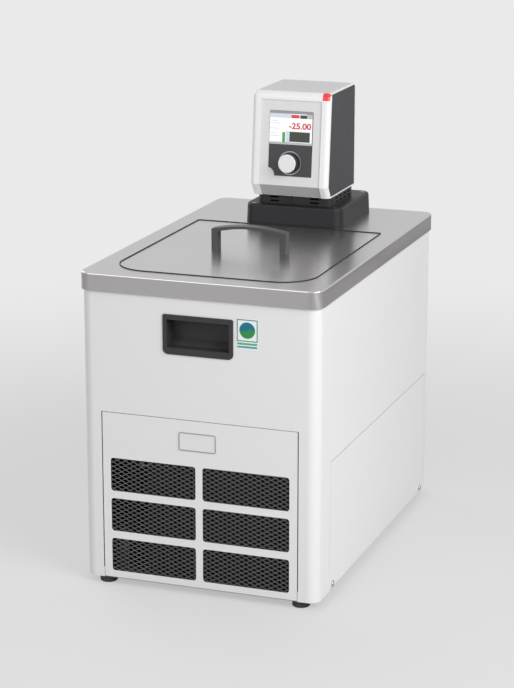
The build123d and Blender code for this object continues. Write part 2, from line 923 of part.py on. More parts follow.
def make_compressor():
    """Hermetic compressor: domed shell with a seam, on a foot plate."""
    plate_z = pan_top + mount_height
    shell = Pos(0, 0, plate_z + compressor_plate) * Cylinder(
        compressor_radius, compressor_height, align=BASE)
    shell = fillet(shell.edges().filter_by(GeomType.CIRCLE), compressor_dome)
    seam_z = plate_z + compressor_plate + compressor_seam_up
    shell += Pos(0, 0, seam_z) * Cylinder(compressor_radius + compressor_seam_step, compressor_seam)
    half_x = mount_spacing_x / 2 + plate_border
    half_y = mount_spacing_y / 2 + plate_border
    plate = rounded_box(-half_x, half_x, -half_y, half_y, plate_z,
                        plate_z + compressor_plate + past, plate_corner)
    return Pos(compressor_x, compressor_y, 0) * (shell + plate)


def mount_points():
    """Places of the four compressor mounts."""
    return [(compressor_x + side_x * mount_spacing_x / 2, compressor_y + side_y * mount_spacing_y / 2)
            for side_x in (-1, 1) for side_y in (-1, 1)]


def make_compressor_mounts():
    """Rubber mounts between the floor pan and the compressor's plate."""
    mounts = []
    for x, y in mount_points():
        mounts.append(Pos(x, y, pan_top) * Cone(mount_radius, mount_top_radius, mount_height,
                                                align=BASE))
    return Compound(children=mounts)


def make_terminal_cover():
    """Plastic cover over the compressor's terminals."""
    z = pan_top + mount_height + terminal_up
    cover = box(shell_left - terminal_out, shell_left + terminal_in,
                compressor_y - terminal_width / 2, compressor_y + terminal_width / 2,
                z, z + terminal_height)
    cover = fillet(cover.edges().filter_by(Axis.Z).group_by(Axis.X)[0], terminal_corner)
    room = Pos(compressor_x, compressor_y, 0) * Cylinder(
        compressor_radius + fit, 2 * compressor_height, align=BASE)
    return cover - room


def make_condenser():
    """Condenser block with fin grooves and the bends of its tube at both ends."""
    core = box(condenser_left, condenser_right, condenser_front, condenser_back, pan_top,
               pan_top + condenser_height)
    pitch = condenser_width / fin_count
    grooves = []
    for i in range(fin_count):
        x = condenser_left + (i + 0.5) * pitch
        for y in (condenser_front, condenser_back):
            grooves.append(box(x - fin_groove / 2, x + fin_groove / 2, y - fin_groove_depth,
                               y + fin_groove_depth, pan_top + fin_border,
                               pan_top + condenser_height - fin_border))
    core -= grooves
    y = condenser_front + condenser_depth / 2
    for i in range(tube_rows - 1):
        side = 1 if i % 2 else -1
        x = condenser_right if side > 0 else condenser_left
        low = (x, y, tube_row_z(i))
        middle = (x, y, (tube_row_z(i) + tube_row_z(i + 1)) / 2)
        ring = Plane(origin=low, z_dir=(side, 0, 0)) * Circle(tube_radius)
        core += revolve(ring, Axis(middle, (0, 1, 0)), -side * 180)
    return core


def tube_row_z(row):
    """Height of one of the condenser's tube rows."""
    return pan_top + condenser_height * (row + 0.5) / tube_rows


def make_fan_shroud():
    """Sheet shroud from the condenser to the round fan opening, with two motor arms."""
    top = pan_top + condenser_height
    opening = fan_radius + fan_gap
    shroud = box(condenser_left, condenser_right, condenser_back, shroud_back, pan_top, top)
    shroud -= box(condenser_left + shroud_sheet, condenser_right - shroud_sheet,
                  condenser_back - past, shroud_back - shroud_sheet,
                  pan_top + shroud_sheet, top - shroud_sheet)
    shroud += rod((condenser_x, shroud_back - shroud_sheet, fan_z), (0, 1, 0),
                  shroud_ring + shroud_sheet, opening + shroud_sheet)
    shroud -= rod((condenser_x, shroud_back - shroud_bore, fan_z), (0, 1, 0),
                  shroud_bore + shroud_ring + past, opening)
    for side in (-1, 1):
        inner = fan_z + side * arm_reach
        outer = fan_z + side * (opening + shroud_sheet / 2)
        shroud += box(condenser_x - arm_width / 2, condenser_x + arm_width / 2,
                      fan_motor_y - arm_sheet, fan_motor_y, min(inner, outer), max(inner, outer))
    return shroud


def make_fan_motor():
    """Fan motor with its shaft pointing forwards."""
    place = (condenser_x, fan_motor_y, fan_z)
    body = rod(place, (0, 1, 0), fan_motor_length, fan_motor_radius)
    body = fillet(body.edges().filter_by(GeomType.CIRCLE).group_by(Axis.Y)[-1], fan_motor_edge)
    return body + rod((condenser_x, fan_motor_y + past, fan_z), (0, -1, 0), fan_shaft_reach + past,
                      fan_shaft_radius)


def make_fan_rotor():
    """Axial fan: hub and pitched blades on the motor's shaft."""
    hub_back = fan_motor_y - fan_motor_gap
    hub_front = hub_back - fan_hub_depth
    rotor = rod((condenser_x, hub_front, fan_z), (0, 1, 0), fan_hub_depth, fan_hub_radius)
    span = fan_radius - fan_hub_radius + fan_blade_root
    for i in range(fan_blades):
        blade = Box(span, fan_blade_chord, fan_blade_sheet,
                    align=(Align.MIN, Align.CENTER, Align.CENTER))
        blade = Pos(fan_hub_radius - fan_blade_root, 0, 0) * Rot(fan_blade_pitch, 0, 0) * blade
        place = Pos(condenser_x, (hub_front + hub_back) / 2, fan_z)
        rotor += place * Rot(0, i * 360 / fan_blades, 0) * blade
    limit = rod((condenser_x, hub_front - fan_blade_chord, fan_z), (0, 1, 0),
                fan_hub_depth + 2 * fan_blade_chord, fan_radius)
    bore = rod((condenser_x, hub_front - past, fan_z), (0, 1, 0), fan_hub_depth + 2 * past,
               fan_shaft_radius + shaft_clearance)
    return (rotor & limit) - bore


def make_filter_drier():
    """Filter drier in the liquid line, lying along the right wall."""
    x, z = liquid_line_x, tube_row_z(0)
    body = rod((x, drier_front, z), (0, 1, 0), drier_length, drier_radius)
    return fillet(body.edges().filter_by(GeomType.CIRCLE), drier_edge)


def make_refrigerant_pipes():
    """Copper pipes: discharge, liquid line, capillary and suction line."""
    inlet, outlet = coil_ends()
    row_y = condenser_front + condenser_depth / 2
    top_row = tube_row_z(tube_rows - 1)
    bottom_row = tube_row_z(0)
    way_x = condenser_left - condenser_bend_room
    discharge = tube([(compressor_x, shell_front, port_z), (compressor_x, discharge_y, port_z),
                      (way_x, discharge_y, top_row), (way_x, row_y, top_row),
                      (condenser_left, row_y, top_row)],
                     [wide_bend, wide_bend, tight_bend], pipe_radius)
    liquid = tube([(condenser_right, row_y, bottom_row), (liquid_line_x, row_y, bottom_row),
                   (liquid_line_x, drier_front, bottom_row)], tight_bend, pipe_radius)
    drier_back = drier_front + drier_length
    turn_y = drier_back + capillary_run
    turn_z = inlet[2] - capillary_drop
    capillary = tube([(liquid_line_x, drier_back, bottom_row), (liquid_line_x, turn_y, bottom_row),
                      (liquid_line_x, turn_y, turn_z), (inlet[0], inlet[1], turn_z), inlet],
                     tight_bend, capillary_radius)
    low = outlet[2] - suction_drop
    suction = tube([outlet, (outlet[0], outlet[1], low), (suction_x, compressor_y, low),
                    (suction_x, compressor_y, port_z), (shell_left, compressor_y, port_z)],
                   middle_bend, suction_radius)
    return Compound(children=[discharge, liquid, capillary, suction])


def make_drain_pipe():
    """Pipe from the bath's floor to the drain valve."""
    level = tank_bottom - foam_base - drain_pipe_drop
    back = drain_front + drain_nozzle_length + drain_body_length
    return tube([(drain_tank_x, drain_tank_y, tank_bottom - tank_sheet),
                 (drain_tank_x, drain_tank_y, level), (drain_x, drain_tank_y, level),
                 (drain_x, drain_tank_y, drain_z), (drain_x, back, drain_z)],
                drain_pipe_bend, drain_pipe_radius)


def make_drain_valve():
    """Drain valve behind the grille panel, standing on the floor pan."""
    body_front = drain_front + drain_nozzle_length
    body = rod((drain_x, body_front, drain_z), (0, 1, 0), drain_body_length, drain_body_radius)
    body += rod((drain_x, drain_front, drain_z), (0, 1, 0), drain_nozzle_length + past,
                drain_nozzle_radius)
    middle = body_front + drain_body_length / 2
    body += box(drain_x - drain_foot_width / 2, drain_x + drain_foot_width / 2,
                middle - drain_foot_length / 2, middle + drain_foot_length / 2, pan_top, drain_z)
    boss = drain_body_radius + drain_boss
    body += rod((drain_x, middle, drain_z), (0, 0, 1), boss, drain_stem_radius + drain_boss_wall)
    body -= rod((drain_x, middle, drain_z), (0, 0, 1), boss + past,
                drain_stem_radius + shaft_clearance)
    return body - rod((drain_x, drain_front - past, drain_z), (0, 1, 0), drain_nozzle_length,
                      drain_nozzle_radius - drain_wall)


def make_drain_lever():
    """Quarter-turn lever on the drain valve's stem, pointing to the left when shut."""
    middle = drain_front + drain_nozzle_length + drain_body_length / 2
    seat = drain_z + drain_body_radius + drain_boss + drain_lever_gap
    stem = rod((drain_x, middle, drain_z + fit), (0, 0, 1), seat - drain_z, drain_stem_radius)
    arm = extrude(SlotOverall(drain_lever_length + drain_lever_width, drain_lever_width),
                  drain_lever_sheet)
    return stem + Pos(drain_x - drain_lever_length / 2, middle, seat) * arm


def make_electrics_box():
    """Closed housing of the power electronics on the floor pan."""
    back = inner_y - inlet_depth - electrics_gap
    front = back - electrics_depth
    left = -inner_x + electrics_gap
    right = suction_x - suction_clear
    top = pan_top + electrics_height
    case = box(left, right, front, back, pan_top, top)
    case = fillet(case.edges().filter_by(Axis.Z), electrics_corner)
    low = top - electrics_lid
    depth = electrics_groove
    groove = box(left - past, right + past, front - past, back + past, low, low + depth)
    core = box(left + depth, right - depth, front + depth, back - depth, pan_top, top)
    return case - (groove - core)


def make_mains_inlet():
    """Mains inlet socket let into the rear panel, with three contact pins."""
    plane = facing_back(inlet_x, case_y + inlet_flange, inlet_z)
    body = slab(plane, inlet_width + 2 * inlet_border, inlet_height + 2 * inlet_border,
                inlet_flange, inlet_corner)
    body += slab(facing_back(inlet_x, case_y, inlet_z), inlet_width, inlet_height, inlet_depth)
    room = inlet_depth - inlet_floor + inlet_flange
    body -= slab(plane, inlet_width - 2 * inlet_wall, inlet_height - 2 * inlet_wall, room, inlet_wall)
    for x, z in ((-inlet_pin_spread, inlet_pin_low), (inlet_pin_spread, inlet_pin_low),
                 (0, inlet_pin_high)):
        pin = facing_back(inlet_x + x, case_y - inlet_depth + inlet_floor, inlet_z + z)
        body += slab(pin.offset(inlet_pin_reach), inlet_pin_width, inlet_pin_height,
                     inlet_pin_reach + past)
    return body


def make_mains_switch_body():
    """Rocker switch body in the rear panel, with the bore for the rocker's pin."""
    body = slab(facing_back(switch_x, case_y + inlet_flange, inlet_z),
                switch_width + 2 * switch_border, switch_height + 2 * switch_border,
                inlet_flange, switch_corner)
    body += slab(facing_back(switch_x, case_y, inlet_z), switch_width, switch_height, switch_depth)
    half_x = switch_width / 2 - switch_wall
    half_z = switch_height / 2 - switch_wall
    body -= box(switch_x - half_x, switch_x + half_x, case_y - switch_depth + switch_floor,
                case_y + inlet_flange + past, inlet_z - half_z, inlet_z + half_z)
    reach = switch_width - 2 * rocker_pin_wall
    return body - rod((switch_x - reach / 2, case_y - rocker_depth, inlet_z), (1, 0, 0), reach,
                      rocker_pin_radius + shaft_clearance)


def make_mains_rocker():
    """Rocker on its pin, tilted to off."""
    half = switch_height / 2 - switch_wall - rocker_end_gap
    outline = Polygon((-rocker_back, -half), (rocker_ends, -half), (rocker_middle, 0),
                      (rocker_ends, half), (-rocker_back, half), align=None)
    width = switch_width - 2 * switch_wall - 2 * rocker_gap
    rocker = extrude(Plane.YZ * outline, width / 2, both=True)
    reach = switch_width - 2 * (rocker_pin_wall + rocker_pin_gap)
    rocker += rod((-reach / 2, 0, 0), (1, 0, 0), reach, rocker_pin_radius)
    return Pos(switch_x, case_y - rocker_depth, inlet_z) * Rot(-rocker_throw / 2, 0, 0) * rocker


def make_pedestal():
    """Hollow tapered housing that carries the control head."""
    x = head_offset
    y = pedestal_middle_y
    depth = pedestal_back - pedestal_front
    taper = math.degrees(math.atan(pedestal_taper / pedestal_height))
    outline = Pos(x, y, deck_top) * RectangleRounded(pedestal_width, depth, pedestal_corner)
    shell = extrude(outline, pedestal_height, taper=taper)
    shell = fillet(shell.edges().group_by(Axis.Z)[-1], pedestal_edge)
    inside = Pos(x, y, deck_top) * RectangleRounded(
        pedestal_width - 2 * pedestal_wall, depth - 2 * pedestal_wall, pedestal_corner - pedestal_wall)
    shell -= extrude(inside, pedestal_height - pedestal_wall, taper=taper)
    half = collar_width / 2 - pedestal_ledge
    shell -= rounded_box(x - half, x + half, collar_front + pedestal_ledge,
                         collar_back - pedestal_ledge, deck_top, pedestal_top + past,
                         collar_corner - pedestal_ledge)
    for px, py in pedestal_screw_points():
        shell -= Pos(px, py, pedestal_top) * Cylinder(pedestal_screw_radius + pedestal_screw_gap,
                                                      2 * pedestal_screw_well)
    for side in (-1, 1):
        place = (x + side * hose_spacing / 2, pedestal_back + past, deck_top + hose_z)
        shell -= rod(place, (0, -1, 0), 2 * pedestal_wall + past, hose_radius + fit)
    return shell


def pedestal_screw_points():
    """Places of the four screws near the pedestal's corners."""
    half = pedestal_width / 2 - pedestal_screw_inset
    return [(head_offset + side * half, y)
            for side in (-1, 1)
            for y in (pedestal_front + pedestal_screw_inset, pedestal_back - pedestal_screw_inset)]


def make_pedestal_screws():
    """Screws sunk in the pedestal's top."""
    screws = []
    for px, py in pedestal_screw_points():
        plane = Plane(origin=(px, py, pedestal_top - pedestal_screw_well), z_dir=(0, 0, 1))
        screws.append(screw_head(plane, pedestal_screw_radius, pedestal_screw_head))
    return Compound(children=screws)


def make_collar():
    """Neck between pedestal and head, with slots all round and a rib in front."""
    x0 = head_offset - collar_width / 2
    x1 = head_offset + collar_width / 2
    collar = rounded_box(x0, x1, collar_front, collar_back, pedestal_top, head_bottom, collar_corner)
    collar -= rounded_box(x0 + collar_wall, x1 - collar_wall, collar_front + collar_wall,
                          collar_back - collar_wall, pedestal_top - past, head_bottom + past,
                          collar_corner - collar_wall)
    for z in (pedestal_top + collar_slot_low, pedestal_top + collar_slot_high):
        for x in (head_offset - collar_slot_x, head_offset + collar_slot_x):
            collar -= cutter(facing_front(x, collar_front, z), collar_slot_width,
                             collar_slot_height, 2 * collar_wall)
            collar -= cutter(facing_back(x, collar_back, z), collar_slot_width,
                             collar_slot_height, 2 * collar_wall)
        for side, x in ((-1, x0), (1, x1)):
            for i in range(collar_side_slots):
                y = collar_middle_y + (i - (collar_side_slots - 1) / 2) * collar_slot_pitch
                collar -= cutter(facing_side(side, x, y, z), collar_slot_width,
                                 collar_slot_height, 2 * collar_wall)
    rib_x = head_offset + rib_offset
    return collar + box(rib_x - rib_width / 2, rib_x + rib_width / 2, collar_front - rib_rise,
                        collar_front + past, pedestal_top, head_bottom)


def make_immersion_plate():
    """Stainless plate under the pedestal that carries the pump, heater and sensors."""
    half = bridge_opening_width / 2 + plate_margin
    length = bridge_opening_length / 2 + plate_margin
    plate = rounded_box(head_offset - half, head_offset + half, collar_middle_y - length,
                        collar_middle_y + length, deck_top, deck_top + plate_sheet, bridge_corner)
    return plate - rod((pump_x, pump_y, deck_top - past), (0, 0, 1), plate_sheet + 2 * past,
                       pump_shaft_radius + pump_shaft_gap)


def make_pump_motor():
    """Pump motor on the plate, with the bore that its shaft turns in."""
    z = deck_top + plate_sheet
    body = rod((pump_x, pump_y, z), (0, 0, 1), motor_length, motor_radius)
    body = fillet(body.edges().filter_by(GeomType.CIRCLE).group_by(Axis.Z)[-1], motor_edge)
    body += rod((pump_x, pump_y, z), (0, 0, 1), motor_flange_height, motor_radius + motor_flange)
    return body - rod((pump_x, pump_y, z - past), (0, 0, 1), motor_bore + past,
                      pump_shaft_radius + shaft_clearance)


def make_pump_housing():
    """Tube under the plate with the pump's volute at its foot."""
    roof = deck_top - pump_reach
    floor = roof - volute_height
    outlet = (pump_x, pump_y, roof - volute_height / 2)
    housing = rod((pump_x, pump_y, roof), (0, 0, 1), pump_reach, pump_tube_radius)
    housing += rod((pump_x, pump_y, floor), (0, 0, 1), volute_height, volute_radius)
    housing += rod(outlet, (0, -1, 0), volute_radius + outlet_reach, outlet_radius)
    housing -= rod((pump_x, pump_y, roof - past), (0, 0, 1), pump_reach + 2 * past,
                   pump_tube_radius - pump_tube_wall)
    housing -= rod((pump_x, pump_y, floor + volute_floor), (0, 0, 1),
                   volute_height - 2 * volute_floor, impeller_radius + impeller_gap)
    housing -= rod((pump_x, pump_y, floor - past), (0, 0, 1), volute_floor + 2 * past, volute_inlet)
    housing -= rod((pump_x, pump_y, roof + past), (0, 0, -1), volute_floor + 2 * past,
                   pump_shaft_radius + pump_shaft_gap)
    return housing - rod(outlet, (0, -1, 0), volute_radius + outlet_reach + past, outlet_bore)


def make_pump_rotor():
    """Pump shaft with its vaned impeller."""
    top = deck_top + plate_sheet + motor_bore - rotor_gap
    wheel_z = deck_top - pump_reach - volute_height + rotor_lift
    rotor = rod((pump_x, pump_y, wheel_z), (0, 0, 1), top - wheel_z, pump_shaft_radius)
    rotor += rod((pump_x, pump_y, wheel_z), (0, 0, 1), impeller_sheet, impeller_radius)
    reach = impeller_radius - vane_sheet
    for i in range(impeller_vanes):
        vane = Pos(reach / 2, 0, impeller_sheet) * Box(reach, vane_sheet, vane_height, align=BASE)
        rotor += Pos(pump_x, pump_y, wheel_z) * Rot(0, 0, i * 360 / impeller_vanes) * vane
    return rotor


def make_heater_coil():
    """Heating element bent up and down below the plate."""
    xs = [heater_x + (i - 1.5) * heater_pitch for i in range(4)]
    low = deck_top - heater_reach
    high = low + heater_loop
    points = [(xs[0], heater_y, deck_top), (xs[0], heater_y, low), (xs[1], heater_y, low),
              (xs[1], heater_y, high), (xs[2], heater_y, high), (xs[2], heater_y, low),
              (xs[3], heater_y, low), (xs[3], heater_y, deck_top)]
    return tube(points, heater_pitch / 2 - heater_bend_gap, heater_radius)


def make_temperature_probe():
    """Bath temperature probe with its hexagon fitting under the plate."""
    probe = rod((probe_x, probe_y, deck_top - probe_reach), (0, 0, 1), probe_reach, probe_radius)
    probe = fillet(probe.edges().filter_by(GeomType.CIRCLE).group_by(Axis.Z)[0], probe_tip)
    nut = Pos(probe_x, probe_y, deck_top - probe_nut_height) * RegularPolygon(probe_nut_radius, 6)
    return probe + extrude(nut, probe_nut_height)


def make_float_stem():
    """Stem of the level float with its foot stop."""
    low = deck_top - float_reach
    stem = rod((float_x, float_y, low), (0, 0, 1), float_reach, float_stem_radius)
    stem += rod((float_x, float_y, low), (0, 0, 1), float_stop, float_stop_radius)
    return stem + rod((float_x, float_y, deck_top), (0, 0, -1), float_collar, float_stop_radius)


def make_level_float():
    """Ring float that rides on the stem, lying on the stop of an empty bath."""
    low = deck_top - float_reach + float_stop
    ring = rod((float_x, float_y, low), (0, 0, 1), float_length, float_radius)
    ring = fillet(ring.edges().filter_by(GeomType.CIRCLE), float_edge)
    return ring - rod((float_x, float_y, low - past), (0, 0, 1), float_length + 2 * past,
                      float_stem_radius + shaft_clearance)


def make_hose_connectors():
    """Two threaded hose unions in the back of the pedestal."""
    unions = []
    root = pedestal_wall + hose_root
    for side in (-1, 1):
        place = (head_offset + side * hose_spacing / 2, pedestal_back, deck_top + hose_z)
        face = Plane(origin=place, z_dir=(0, 1, 0))
        union = extrude(face * RegularPolygon(hose_radius + hose_hex_border, 6), hose_hex)
        union += face.offset(-root) * Cylinder(hose_radius, root + hose_length, align=BASE)
        union -= face.offset(-root - past) * Cylinder(hose_bore, root + hose_length + 2 * past,
                                                      align=BASE)
        unions.append(union)
    return Compound(children=unions)


def head_profile(front=0.0, top=0.0, back=0.0, bottom=0.0):
    """Side view of the head (Y, Z), each side moved inwards by its own amount."""
    slope = head_lean / (head_top - head_bottom - head_chin)
    chin_z = head_bottom + head_chin
    chin_y = head_front + front
    high = head_top - top
    low = head_bottom + bottom
    chin_slope = head_chin_back / head_chin
    points = [
        (chin_y, chin_z),
        (chin_y + (high - chin_z) * slope, high),
        (head_back - back, high),
        (head_back - back, low),
        (chin_y + (chin_z - low) * chin_slope, low),
    ]
    return Polygon(*points, align=None)


def head_block(half_width, brow, chin, **insets):
    """Head's side view drawn across its width, with the brow and chin rounded."""
    block = extrude(Plane.YZ * head_profile(**insets), half_width, both=True)
    across = block.edges().filter_by(Axis.X).sort_by(Axis.Y)
    brow_edge = across.sort_by(Axis.Z)[-2:].sort_by(Axis.Y)[0]
    block = fillet([brow_edge], brow)
    if chin > 0:
        rounded = block.edges().filter_by(Axis.X).sort_by(Axis.Y)
        block = fillet([rounded[0]], chin)
    return Pos(head_offset, 0, 0) * block


def face_plane(x, z, depth=0.0):
    """Plane on the leaning front of the head, its own Y up the face; depth is inwards."""
    angle = math.atan(head_lean / (head_top - head_bottom - head_chin))
    y = head_front + (z - head_bottom - head_chin) * math.tan(angle)
    plane = Plane(origin=(x, y, z), x_dir=(1, 0, 0), z_dir=(0, -math.cos(angle), math.sin(angle)))
    return plane.offset(-depth)


def face_height(low, high):
    """Length along the leaning face between two heights."""
    angle = math.atan(head_lean / (head_top - head_bottom - head_chin))
    return (high - low) / math.cos(angle)


def head_shell(shrink):
    """Solid of the head with its front edges rounded, its outside moved inwards a little."""
    half = head_width / 2 - shrink
    shell = head_block(half, head_brow - shrink, head_chin_edge, front=shrink, top=shrink)
    front_edges = [edge for edge in shell.edges()
                   if abs(abs(edge.center().X - head_offset) - half) < 0.01
                   and edge.center().Y < head_front + head_lean + head_brow
                   and edge.length > past]
    return fillet(front_edges, head_edge - shrink)


def make_corner_insert():
    """Small coloured insert that follows the brow and the rounded corner at the right."""
    right = head_right - insert_side
    region = box(right - insert_width, right, head_front, head_front + head_lean + head_brow,
                 panel_top + insert_rise, head_top + past)
    return (head_shell(0) & region) - head_shell(insert_sheet)


def make_head_frame():
    """White shell of the head: frame round the front, top and narrow side borders."""
    frame = head_shell(0)
    cavity = head_block(head_width / 2 - head_side_wall, head_brow - head_wall,
                        head_chin_edge - side_border, front=head_wall, top=head_wall, back=-past,
                        bottom=head_wall)
    frame -= cavity
    for side in (-1, 1):
        frame -= side_shape(side, side_sheet + side_inset, 0.0)
        frame -= side_shape(side, head_side_wall + past, side_lip)
    half = panel_width / 2 + fit
    front = head_front - past
    frame -= box(face_x - half, face_x + half, front, head_front + head_chin_back + panel_step,
                 head_bottom - past, panel_top + fit)
    frame -= box(face_x - half, face_x + half, front, head_front + head_lean + head_brow,
                 head_bottom + head_chin, panel_top + fit)
    half = collar_width / 2 - collar_ledge
    frame -= rounded_box(head_offset - half, head_offset + half, collar_front + collar_ledge,
                         collar_back - collar_back_ledge, head_bottom - past,
                         head_bottom + head_wall + past, collar_hole_corner)
    return frame - make_corner_insert()


def side_shape(side, depth, shrink):
    """Side panel's outline pushed in from the head's side by some depth."""
    profile = head_profile(front=side_front_border + shrink, top=side_top_border + shrink,
                           back=side_border + shrink, bottom=side_border + shrink)
    shape = extrude(Plane.YZ * profile, depth, dir=(-side, 0, 0))
    across = shape.edges().filter_by(Axis.X).sort_by(Axis.Z)
    shape = fillet([across[-2:].sort_by(Axis.Y)[0]], side_corner)
    return Pos(head_offset + side * head_width / 2, 0, 0) * shape


def make_head_side(side):
    """Dark side panel set in the frame."""
    profile = head_profile(front=side_front_border + fit, top=side_top_border + fit,
                           back=side_border + fit, bottom=side_border + fit)
    shape = extrude(Plane.YZ * profile, side_sheet, dir=(-side, 0, 0))
    across = shape.edges().filter_by(Axis.X).sort_by(Axis.Z)
    shape = fillet([across[-2:].sort_by(Axis.Y)[0]], side_corner)
    return Pos(head_offset + side * (head_width / 2 - side_inset), 0, 0) * shape


def make_head_rear_cover():
    """Rear cover of the head with vent slots."""
    half = head_width / 2 - head_side_wall - fit
    low = head_bottom + head_wall + fit
    high = head_top - head_wall - fit
    plane = facing_back(head_offset, head_back - rear_cover_inset, (low + high) / 2)
    cover = slab(plane, 2 * half, high - low, rear_cover_sheet)
    width = half - rear_vent_side - rear_vent_bar / 2
    rear_vent_x = (width + rear_vent_bar) / 2
    for row in range(rear_vent_rows):
        z = high - rear_vent_first - row * rear_vent_pitch
        for x in (-rear_vent_x, rear_vent_x):
            cover -= cutter(facing_back(head_offset + x, head_back - rear_cover_inset, z),
                            width, rear_vent_height, 2 * rear_cover_sheet)
    return cover


def screen_outline(grow=0.0):
    """Outline of the dark glass, seen on the leaning face from its middle."""
    height = face_height(screen_bottom, screen_top)
    outline = RectangleRounded(screen_width + 2 * grow, height + 2 * grow, screen_corner + grow)
    middle = (screen_bottom + screen_top) / 2
    bite = Pos(screen_bite_x, face_height(middle, screen_bite_z)) * Circle(screen_bite_radius - grow)
    return outline - bite


def screen_plane(depth):
    """Face plane at the middle of the dark glass."""
    return face_plane(face_x, (screen_bottom + screen_top) / 2, depth)


def make_front_panel():
    """Silver panel of the face, bent back at the chin, with bosses for the board."""
    outer = head_block(panel_width, panel_brow_edge, panel_chin_edge, front=panel_recess,
                       bottom=panel_recess)
    deep = panel_recess + panel_sheet
    inner = head_block(panel_width, panel_brow_edge, panel_chin_edge - panel_sheet, front=deep,
                       bottom=deep)
    left = face_x - panel_width / 2
    right = face_x + panel_width / 2
    front = head_front - past
    keep = box(left, right, front, head_front + head_lean + head_brow,
               head_bottom + head_chin / 2, panel_top)
    keep += box(left, right, front, head_front + head_chin_back + panel_step - fit,
                head_bottom - past, head_bottom + head_chin)
    panel = (outer - inner) & keep
    panel -= extrude(screen_plane(panel_recess - past) * screen_outline(fit),
                     -panel_sheet - 2 * past)
    for x in (-board_boss_x, board_boss_x):
        for z in (screen_bottom - board_boss_out, screen_top + board_boss_out):
            panel += face_plane(face_x + x, z, board_depth) * Cylinder(
                boss_radius, board_depth - deep + boss_gap, align=BASE)
    return panel


def make_display_glass():
    """Dark glass field of the face, with the bore for the knob's spindle."""
    glass = extrude(screen_plane(glass_depth) * screen_outline(), -screen_glass)
    return glass - extrude(face_plane(face_x, knob_z, glass_depth - past)
                           * Circle(spindle_radius + spindle_gap), -screen_glass - 2 * past)


def make_display_module():
    """Display module behind the upper part of the glass."""
    height = face_height(lcd_bottom, screen_top) - 2 * display_margin
    plane = face_plane(face_x, (lcd_bottom + screen_top) / 2, glass_depth + screen_glass)
    return slab(plane, screen_width - 2 * display_margin, height, encoder_depth)


def make_head_circuit_board():
    """Control board behind the display and the encoder."""
    low = screen_bottom - board_boss_out - board_low_margin
    high = screen_top + board_boss_out + board_high_margin
    plane = face_plane(face_x, (low + high) / 2, board_depth)
    board = slab(plane, 2 * (board_boss_x + board_side_margin), face_height(low, high), board_sheet)
    for x in (face_x - chip_pitch, face_x, face_x + chip_pitch):
        chip = face_plane(x, low + chip_up, board_depth + board_sheet)
        board += slab(chip, chip_size, chip_size, chip_height)
    return board


def make_knob_ring():
    """Thin bright ring on the glass round the knob."""
    ring = Circle(ring_radius) - Circle(ring_radius - ring_width)
    return extrude(face_plane(face_x, knob_z, glass_depth) * ring, ring_height)


def make_encoder_body():
    """Encoder behind the glass, with the bore that the spindle slides in."""
    plane = face_plane(face_x, knob_z, glass_depth + screen_glass)
    body = slab(plane, encoder_size, encoder_size, encoder_depth)
    return body - extrude(plane.offset(past) * Circle(spindle_radius + shaft_clearance),
                          -encoder_depth)


def make_encoder_spindle():
    """Spindle that is pushed in and carries the knob."""
    bottom = glass_depth + screen_glass + encoder_depth - push_travel - spindle_room
    plane = face_plane(face_x, knob_z, bottom)
    length = bottom - glass_depth + knob_gap + knob_bore - spindle_end_gap
    return plane * Cylinder(spindle_radius, length, align=BASE)


def make_control_knob():
    """Round knob with a bore for the spindle and a seat for its cap."""
    plane = face_plane(face_x, knob_z, glass_depth).offset(knob_gap)
    knob = plane * Cylinder(knob_radius, knob_height, align=BASE)
    knob = chamfer(knob.edges().group_by(Axis(plane.origin, plane.z_dir))[0], knob_edge)
    return knob - plane.offset(-past) * Cylinder(spindle_radius + shaft_clearance, knob_bore + past,
                                                 align=BASE)


def make_knob_cap():
    """Bright cap on the knob's face."""
    plane = face_plane(face_x, knob_z, glass_depth).offset(knob_gap + knob_height)
    cap = plane * Cylinder(knob_radius, knob_cap_sheet, align=BASE)
    return fillet(cap.edges().group_by(Axis(plane.origin, plane.z_dir))[-1], knob_edge)


def save_all():
    """Write every node to its own file."""
    os.makedirs("parts", exist_ok=True)
    for name, shape in nodes.items():
        export_step(shape, f"parts/{name}.step")


nodes["feet"] = make_feet()
nodes["base_pan"] = make_base_pan()
nodes["case_wrap"] = make_case_wrap()
nodes["grille_panel"] = make_grille_panel()
nodes["expanded_mesh"] = make_expanded_mesh()
nodes["side_cover_left"] = make_side_cover(-1)
nodes["side_cover_right"] = make_side_cover(1)
nodes["case_screws"] = make_case_screws()
nodes["rear_panel"] = make_rear_panel()
nodes["front_grip"] = make_grip(-1)
nodes["rear_grip"] = make_grip(1)
nodes["top_deck"] = make_top_deck()
nodes["lid"] = make_lid()
nodes["lid_handle"] = make_lid_handle()
nodes["lid_handle_screws"] = make_lid_handle_screws()
nodes["bath_tank"] = make_bath_tank()
nodes["evaporator_coil"] = make_evaporator_coil()
nodes["tank_insulation"] = make_tank_insulation()
nodes["compressor"] = make_compressor()
nodes["compressor_mounts"] = make_compressor_mounts()
nodes["compressor_terminal_cover"] = make_terminal_cover()
nodes["condenser"] = make_condenser()
nodes["fan_shroud"] = make_fan_shroud()
nodes["fan_motor"] = make_fan_motor()
nodes["fan_rotor"] = make_fan_rotor()
nodes["filter_drier"] = make_filter_drier()
nodes["refrigerant_pipes"] = make_refrigerant_pipes()
nodes["drain_pipe"] = make_drain_pipe()
nodes["drain_valve"] = make_drain_valve()
nodes["drain_lever"] = make_drain_lever()
nodes["electrics_box"] = make_electrics_box()
nodes["mains_inlet"] = make_mains_inlet()
nodes["mains_switch_body"] = make_mains_switch_body()
nodes["mains_rocker"] = make_mains_rocker()
nodes["pedestal"] = make_pedestal()
nodes["pedestal_screws"] = make_pedestal_screws()
nodes["collar"] = make_collar()
nodes["immersion_plate"] = make_immersion_plate()
nodes["pump_motor"] = make_pump_motor()
nodes["pump_housing"] = make_pump_housing()
